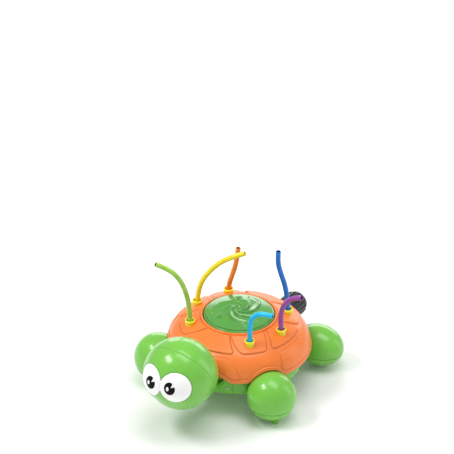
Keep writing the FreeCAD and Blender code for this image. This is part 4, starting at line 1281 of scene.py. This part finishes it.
class SPRINKLER_OT_inlet(bpy.types.Operator):
    """Ribbed swivel collar with a threaded mouth, its stem and washer"""

    bl_idname = "sprinkler.inlet"
    bl_label = "Hose inlet"

    def execute(self, context):
        settings = context.scene.sprinkler_hose
        finish = grained("hose_grey", settings.colour, 0.26, 500, 0.03 * MM)
        low, high = corners_of("hose_collar")
        front, rear = low[1] - AXIS[1], high[1] - AXIS[1]
        radius = COLLAR_RADIUS
        profile = spaced(
            rounded(
                [
                    (8.6 * MM, front, 0),
                    (radius - 2.6 * MM, front, 0.6 * MM),
                    (radius - 1.0 * MM, front + 1.6 * MM, 0.6 * MM),
                    (radius - 1.0 * MM, rear - 3.4 * MM, 0.8 * MM),
                    (radius - 2.4 * MM, rear - 2.6 * MM, 0.5 * MM),
                    (radius - 2.4 * MM, rear, 0.5 * MM),
                    (13.2 * MM, rear, 0.4 * MM),
                    (13.0 * MM, rear - 17 * MM, 0.4 * MM),
                    (13.2 * MM, front + 3 * MM, 0.3 * MM),
                    (8.6 * MM, front + 3 * MM, 0),
                ],
                4,
            ),
            0.5 * MM,
        )
        columns = settings.ribs * RIB_COLUMNS
        angle = np.linspace(0, TURN, columns, endpoint=False)
        grid = turned(profile, columns)
        grip = smooth_step(profile[:, 1], front + 1.5 * MM, front + 3.5 * MM)
        grip *= 1 - smooth_step(profile[:, 1], rear - 5.5 * MM, rear - 3.6 * MM)
        grip *= profile[:, 0] > radius - 2 * MM
        rib = smooth_step(np.cos(angle * settings.ribs), -0.35, 0.25)
        lift = grip[:, None] * (rib[None, :] - 0.5 * (1 - rib[None, :])) * MM
        inside = (profile[:, 0] < 13.5 * MM) & (profile[:, 1] > rear - 16.5 * MM)
        wave = (profile[:, 1][:, None] / THREAD_PITCH - angle / TURN) % 1.0
        thread = (np.abs(wave - 0.5) * 2 - 0.5) * 0.9 * MM
        lift = lift + np.where(inside[:, None], thread, 0)
        skin = Skin().add(laid_back(pushed_out(grid, lift, angle)), closed=True, relief=lift / MM)
        skin.make("swivel_nut", "swivel_collar", "hose_grey", finish, ["hose_collar"])
        stem_low, stem_high = corners_of("inlet_stem")
        near, far = stem_low[1] - AXIS[1], stem_high[1] - AXIS[1]
        stem = rounded(
            [
                (4.0 * MM, near, 0),
                (11.0 * MM, near, 0.5 * MM),
                (11.0 * MM, near + 4 * MM, 0.8 * MM),
                (8.5 * MM, near + 4.2 * MM, 0.8 * MM),
                (8.5 * MM, far - 2.7 * MM, 0.3 * MM),
                (12.0 * MM, far - 2.7 * MM, 0.3 * MM),
                (12.0 * MM, far, 0.3 * MM),
                (6.5 * MM, far, 0.3 * MM),
                (6.5 * MM, far - 3 * MM, 0.3 * MM),
                (4.0 * MM, far - 3 * MM, 0),
            ]
        )
        stem_skin = Skin().add(laid_back(turned(spaced(stem, 2 * MM), 72)), closed=True)
        stem_skin.make("stem_tail", BODY, "hose_grey", finish, ["inlet_stem"])
        outside = far + 2.6 * MM
        washer = rounded(
            [
                (7.0 * MM, far, 0.0),
                (7.0 * MM, outside, 0.5 * MM),
                (12.0 * MM, outside, 0.6 * MM),
                (12.0 * MM, far, 0),
            ]
        )
        seal = grained("black_seal", RUBBER, 0.6, 800, 0.02 * MM)
        washer_skin = Skin().add(laid_back(turned(washer, 64)), closed=True)
        washer_skin.make("washer_ring", BODY, "seal", seal, ["hose_washer"])
        return {"FINISHED"}


# ---------------------------------------------------------------- pieces kept from the frame


NATURAL_PLASTIC = (0.68, 0.68, 0.62)
STEEL = (0.55, 0.55, 0.57)


class SPRINKLER_OT_inner(bpy.types.Operator):
    """Finishes for the CAD pieces that stay as they are: chamber, spindle, seals and screws"""

    bl_idname = "sprinkler.inner"
    bl_label = "Inner parts"

    def execute(self, context):
        by_slot = {
            "inner_white": moulded("natural_plastic", NATURAL_PLASTIC, rough=0.45, coat=0.0),
            "seal": bpy.data.materials["black_seal"],
            "steel": grained("plated_steel", STEEL, 0.3, 1500, 0.01 * MM, metal=1.0),
            "body_green": body_finish(context),
            "rotor_green": bpy.data.materials["green_disc"],
        }
        slots = {entry["node"]: entry["material_slot"] for entry in frame["record"]["subparts"]}
        for name, node in frame["nodes"].items():
            if node.hide_render:
                continue
            node.data.materials.clear()
            node.data.materials.append(by_slot[slots[name]])
        return {"FINISHED"}


# ---------------------------------------------------------------- stage


def area_light(name, place, target, size, power):
    """A soft rectangular lamp that looks at a target."""
    lamp = bpy.data.lights.new(name, "AREA")
    lamp.shape = "RECTANGLE"
    lamp.size, lamp.size_y = size
    lamp.energy = power
    holder = bpy.data.objects.new(name, lamp)
    bpy.context.scene.collection.objects.link(holder)
    aim(holder, place, target)


def aim(holder, place, target):
    """Puts a lamp or camera at a place, looking at a target, with its top up."""
    matrix = np.eye(4)
    matrix[:3, :3] = frame_of(place - target)
    matrix[:3, 3] = place
    holder.matrix_world = Matrix(matrix.tolist())


# The picture is this many units wide; the camera's target lies this many of them to the left of
# the disc's axis and above its rim.
FRAME_WIDTH = 454
TARGET_LEFT = 12
TARGET_ABOVE = 85.3
SENSOR = 36
CLIP_END = 40
FLOOR_REACH = 4.0
WORLD_STRENGTH = 0.55
LAMP_DISTANCE = 1.5
LAMP_TARGET = 0.07

# Soft boxes: the direction of each from the object, to the camera's right, above it and toward it,
# then the size and the power.
LAMPS = (
    ("spot_box", -0.546, 0.616, 0.55, (0.60, 0.30), 9.0),
    ("front_box", 0.125, 0.79, 0.60, (1.1, 0.7), 9.0),
    ("top_box", 0.2, 0.72, -0.69, (1.6, 0.5), 7.0),
    ("side_box", 0.95, 0.3, 0.1, (0.5, 1.2), 3.0),
)


class SPRINKLER_OT_stage(bpy.types.Operator):
    """Pale floor, soft studio light and the camera"""

    bl_idname = "sprinkler.stage"
    bl_label = "Stage"

    def execute(self, context):
        settings = context.scene.sprinkler_stage
        scene = context.scene
        floor_mesh = bpy.data.meshes.new("floor")
        corners = ((-1, -1), (1, -1), (1, 1), (-1, 1))
        spots = [(across * FLOOR_REACH, along * FLOOR_REACH, 0) for across, along in corners]
        floor_mesh.from_pydata(spots, [], [(0, 1, 2, 3)])
        floor = bpy.data.objects.new("floor", floor_mesh)
        scene.collection.objects.link(floor)
        paper = Finish("white_paper")
        grain = paper.noise(6, 2.0).clamp(0.3, 0.7)
        paper.link("Base Color", paper.mix(grain, (0.93, 0.93, 0.93), (0.96, 0.96, 0.96)))
        paper.set(Roughness=0.7)
        floor_mesh.materials.append(paper.material)
        world = bpy.data.worlds.new("studio")
        world.use_nodes = True
        world.node_tree.nodes["Background"].inputs["Color"].default_value = (1, 1, 1, 1)
        world.node_tree.nodes["Background"].inputs["Strength"].default_value = WORLD_STRENGTH
        scene.world = world
        scene.view_settings.view_transform = "Standard"
        side = np.array([math.cos(settings.azimuth), math.sin(settings.azimuth), 0])
        front = np.array([math.sin(settings.azimuth), -math.cos(settings.azimuth), 0])
        back = front * math.cos(settings.elevation) + np.array([0, 0, math.sin(settings.elevation)])
        up = np.cross(back, side)
        middle = AXIS + np.array([0, 0, LAMP_TARGET])
        for name, across, above, toward, size, power in LAMPS:
            place = middle + LAMP_DISTANCE * (side * across + up * above + back * toward)
            area_light(name, place, middle, size, power)
        camera = bpy.data.cameras.new("camera")
        camera.sensor_width = SENSOR
        camera.lens = SENSOR * settings.distance / settings.width
        camera.clip_end = CLIP_END
        holder = bpy.data.objects.new("camera", camera)
        scene.collection.objects.link(holder)
        scale = settings.width / FRAME_WIDTH
        rim = AXIS + np.array([0, 0, rotor_height(ROTOR_RADIUS)])
        target = rim - side * TARGET_LEFT * scale + up * TARGET_ABOVE * scale
        aim(holder, target + back * settings.distance, target)
        scene.camera = holder
        return {"FINISHED"}


# ---------------------------------------------------------------- registration


SETTINGS = {
    "sprinkler_shell": ShellSettings,
    "sprinkler_rotor": RotorSettings,
    "sprinkler_body": BodySettings,
    "sprinkler_spray": SpraySettings,
    "sprinkler_hose": HoseSettings,
    "sprinkler_stage": StageSettings,
}
OPERATORS = (
    SPRINKLER_OT_stage,
    SPRINKLER_OT_sockets,
    SPRINKLER_OT_tubes,
    SPRINKLER_OT_shell,
    SPRINKLER_OT_rotor,
    SPRINKLER_OT_feet,
    SPRINKLER_OT_tray,
    SPRINKLER_OT_neck,
    SPRINKLER_OT_head,
    SPRINKLER_OT_eyes,
    SPRINKLER_OT_inlet,
    SPRINKLER_OT_inner,
)


class SPRINKLER_PT_panel(bpy.types.Panel):
    """Lists the pieces in the order they are built"""

    bl_idname = "SPRINKLER_PT_panel"
    bl_label = "Turtle sprinkler"
    bl_space_type = "VIEW_3D"
    bl_region_type = "UI"
    bl_category = "Sprinkler"

    def draw(self, context):
        for operator in OPERATORS:
            self.layout.operator(operator.bl_idname)
        for name, group in SETTINGS.items():
            box = self.layout.box()
            for field in group.__annotations__:
                box.prop(getattr(context.scene, name), field)


def register():
    for group in SETTINGS.values():
        bpy.utils.register_class(group)
    for name, group in SETTINGS.items():
        setattr(bpy.types.Scene, name, bpy.props.PointerProperty(type=group))
    for operator in OPERATORS:
        bpy.utils.register_class(operator)
    bpy.utils.register_class(SPRINKLER_PT_panel)


def unregister():
    bpy.utils.unregister_class(SPRINKLER_PT_panel)
    for operator in reversed(OPERATORS):
        bpy.utils.unregister_class(operator)
    for name, group in SETTINGS.items():
        delattr(bpy.types.Scene, name)
        bpy.utils.unregister_class(group)


def main():
    """Builds every piece in order."""
    register()
    for operator in OPERATORS:
        group, name = operator.bl_idname.split(".")
        getattr(getattr(bpy.ops, group), name)()


if __name__ == "__main__":
    main()
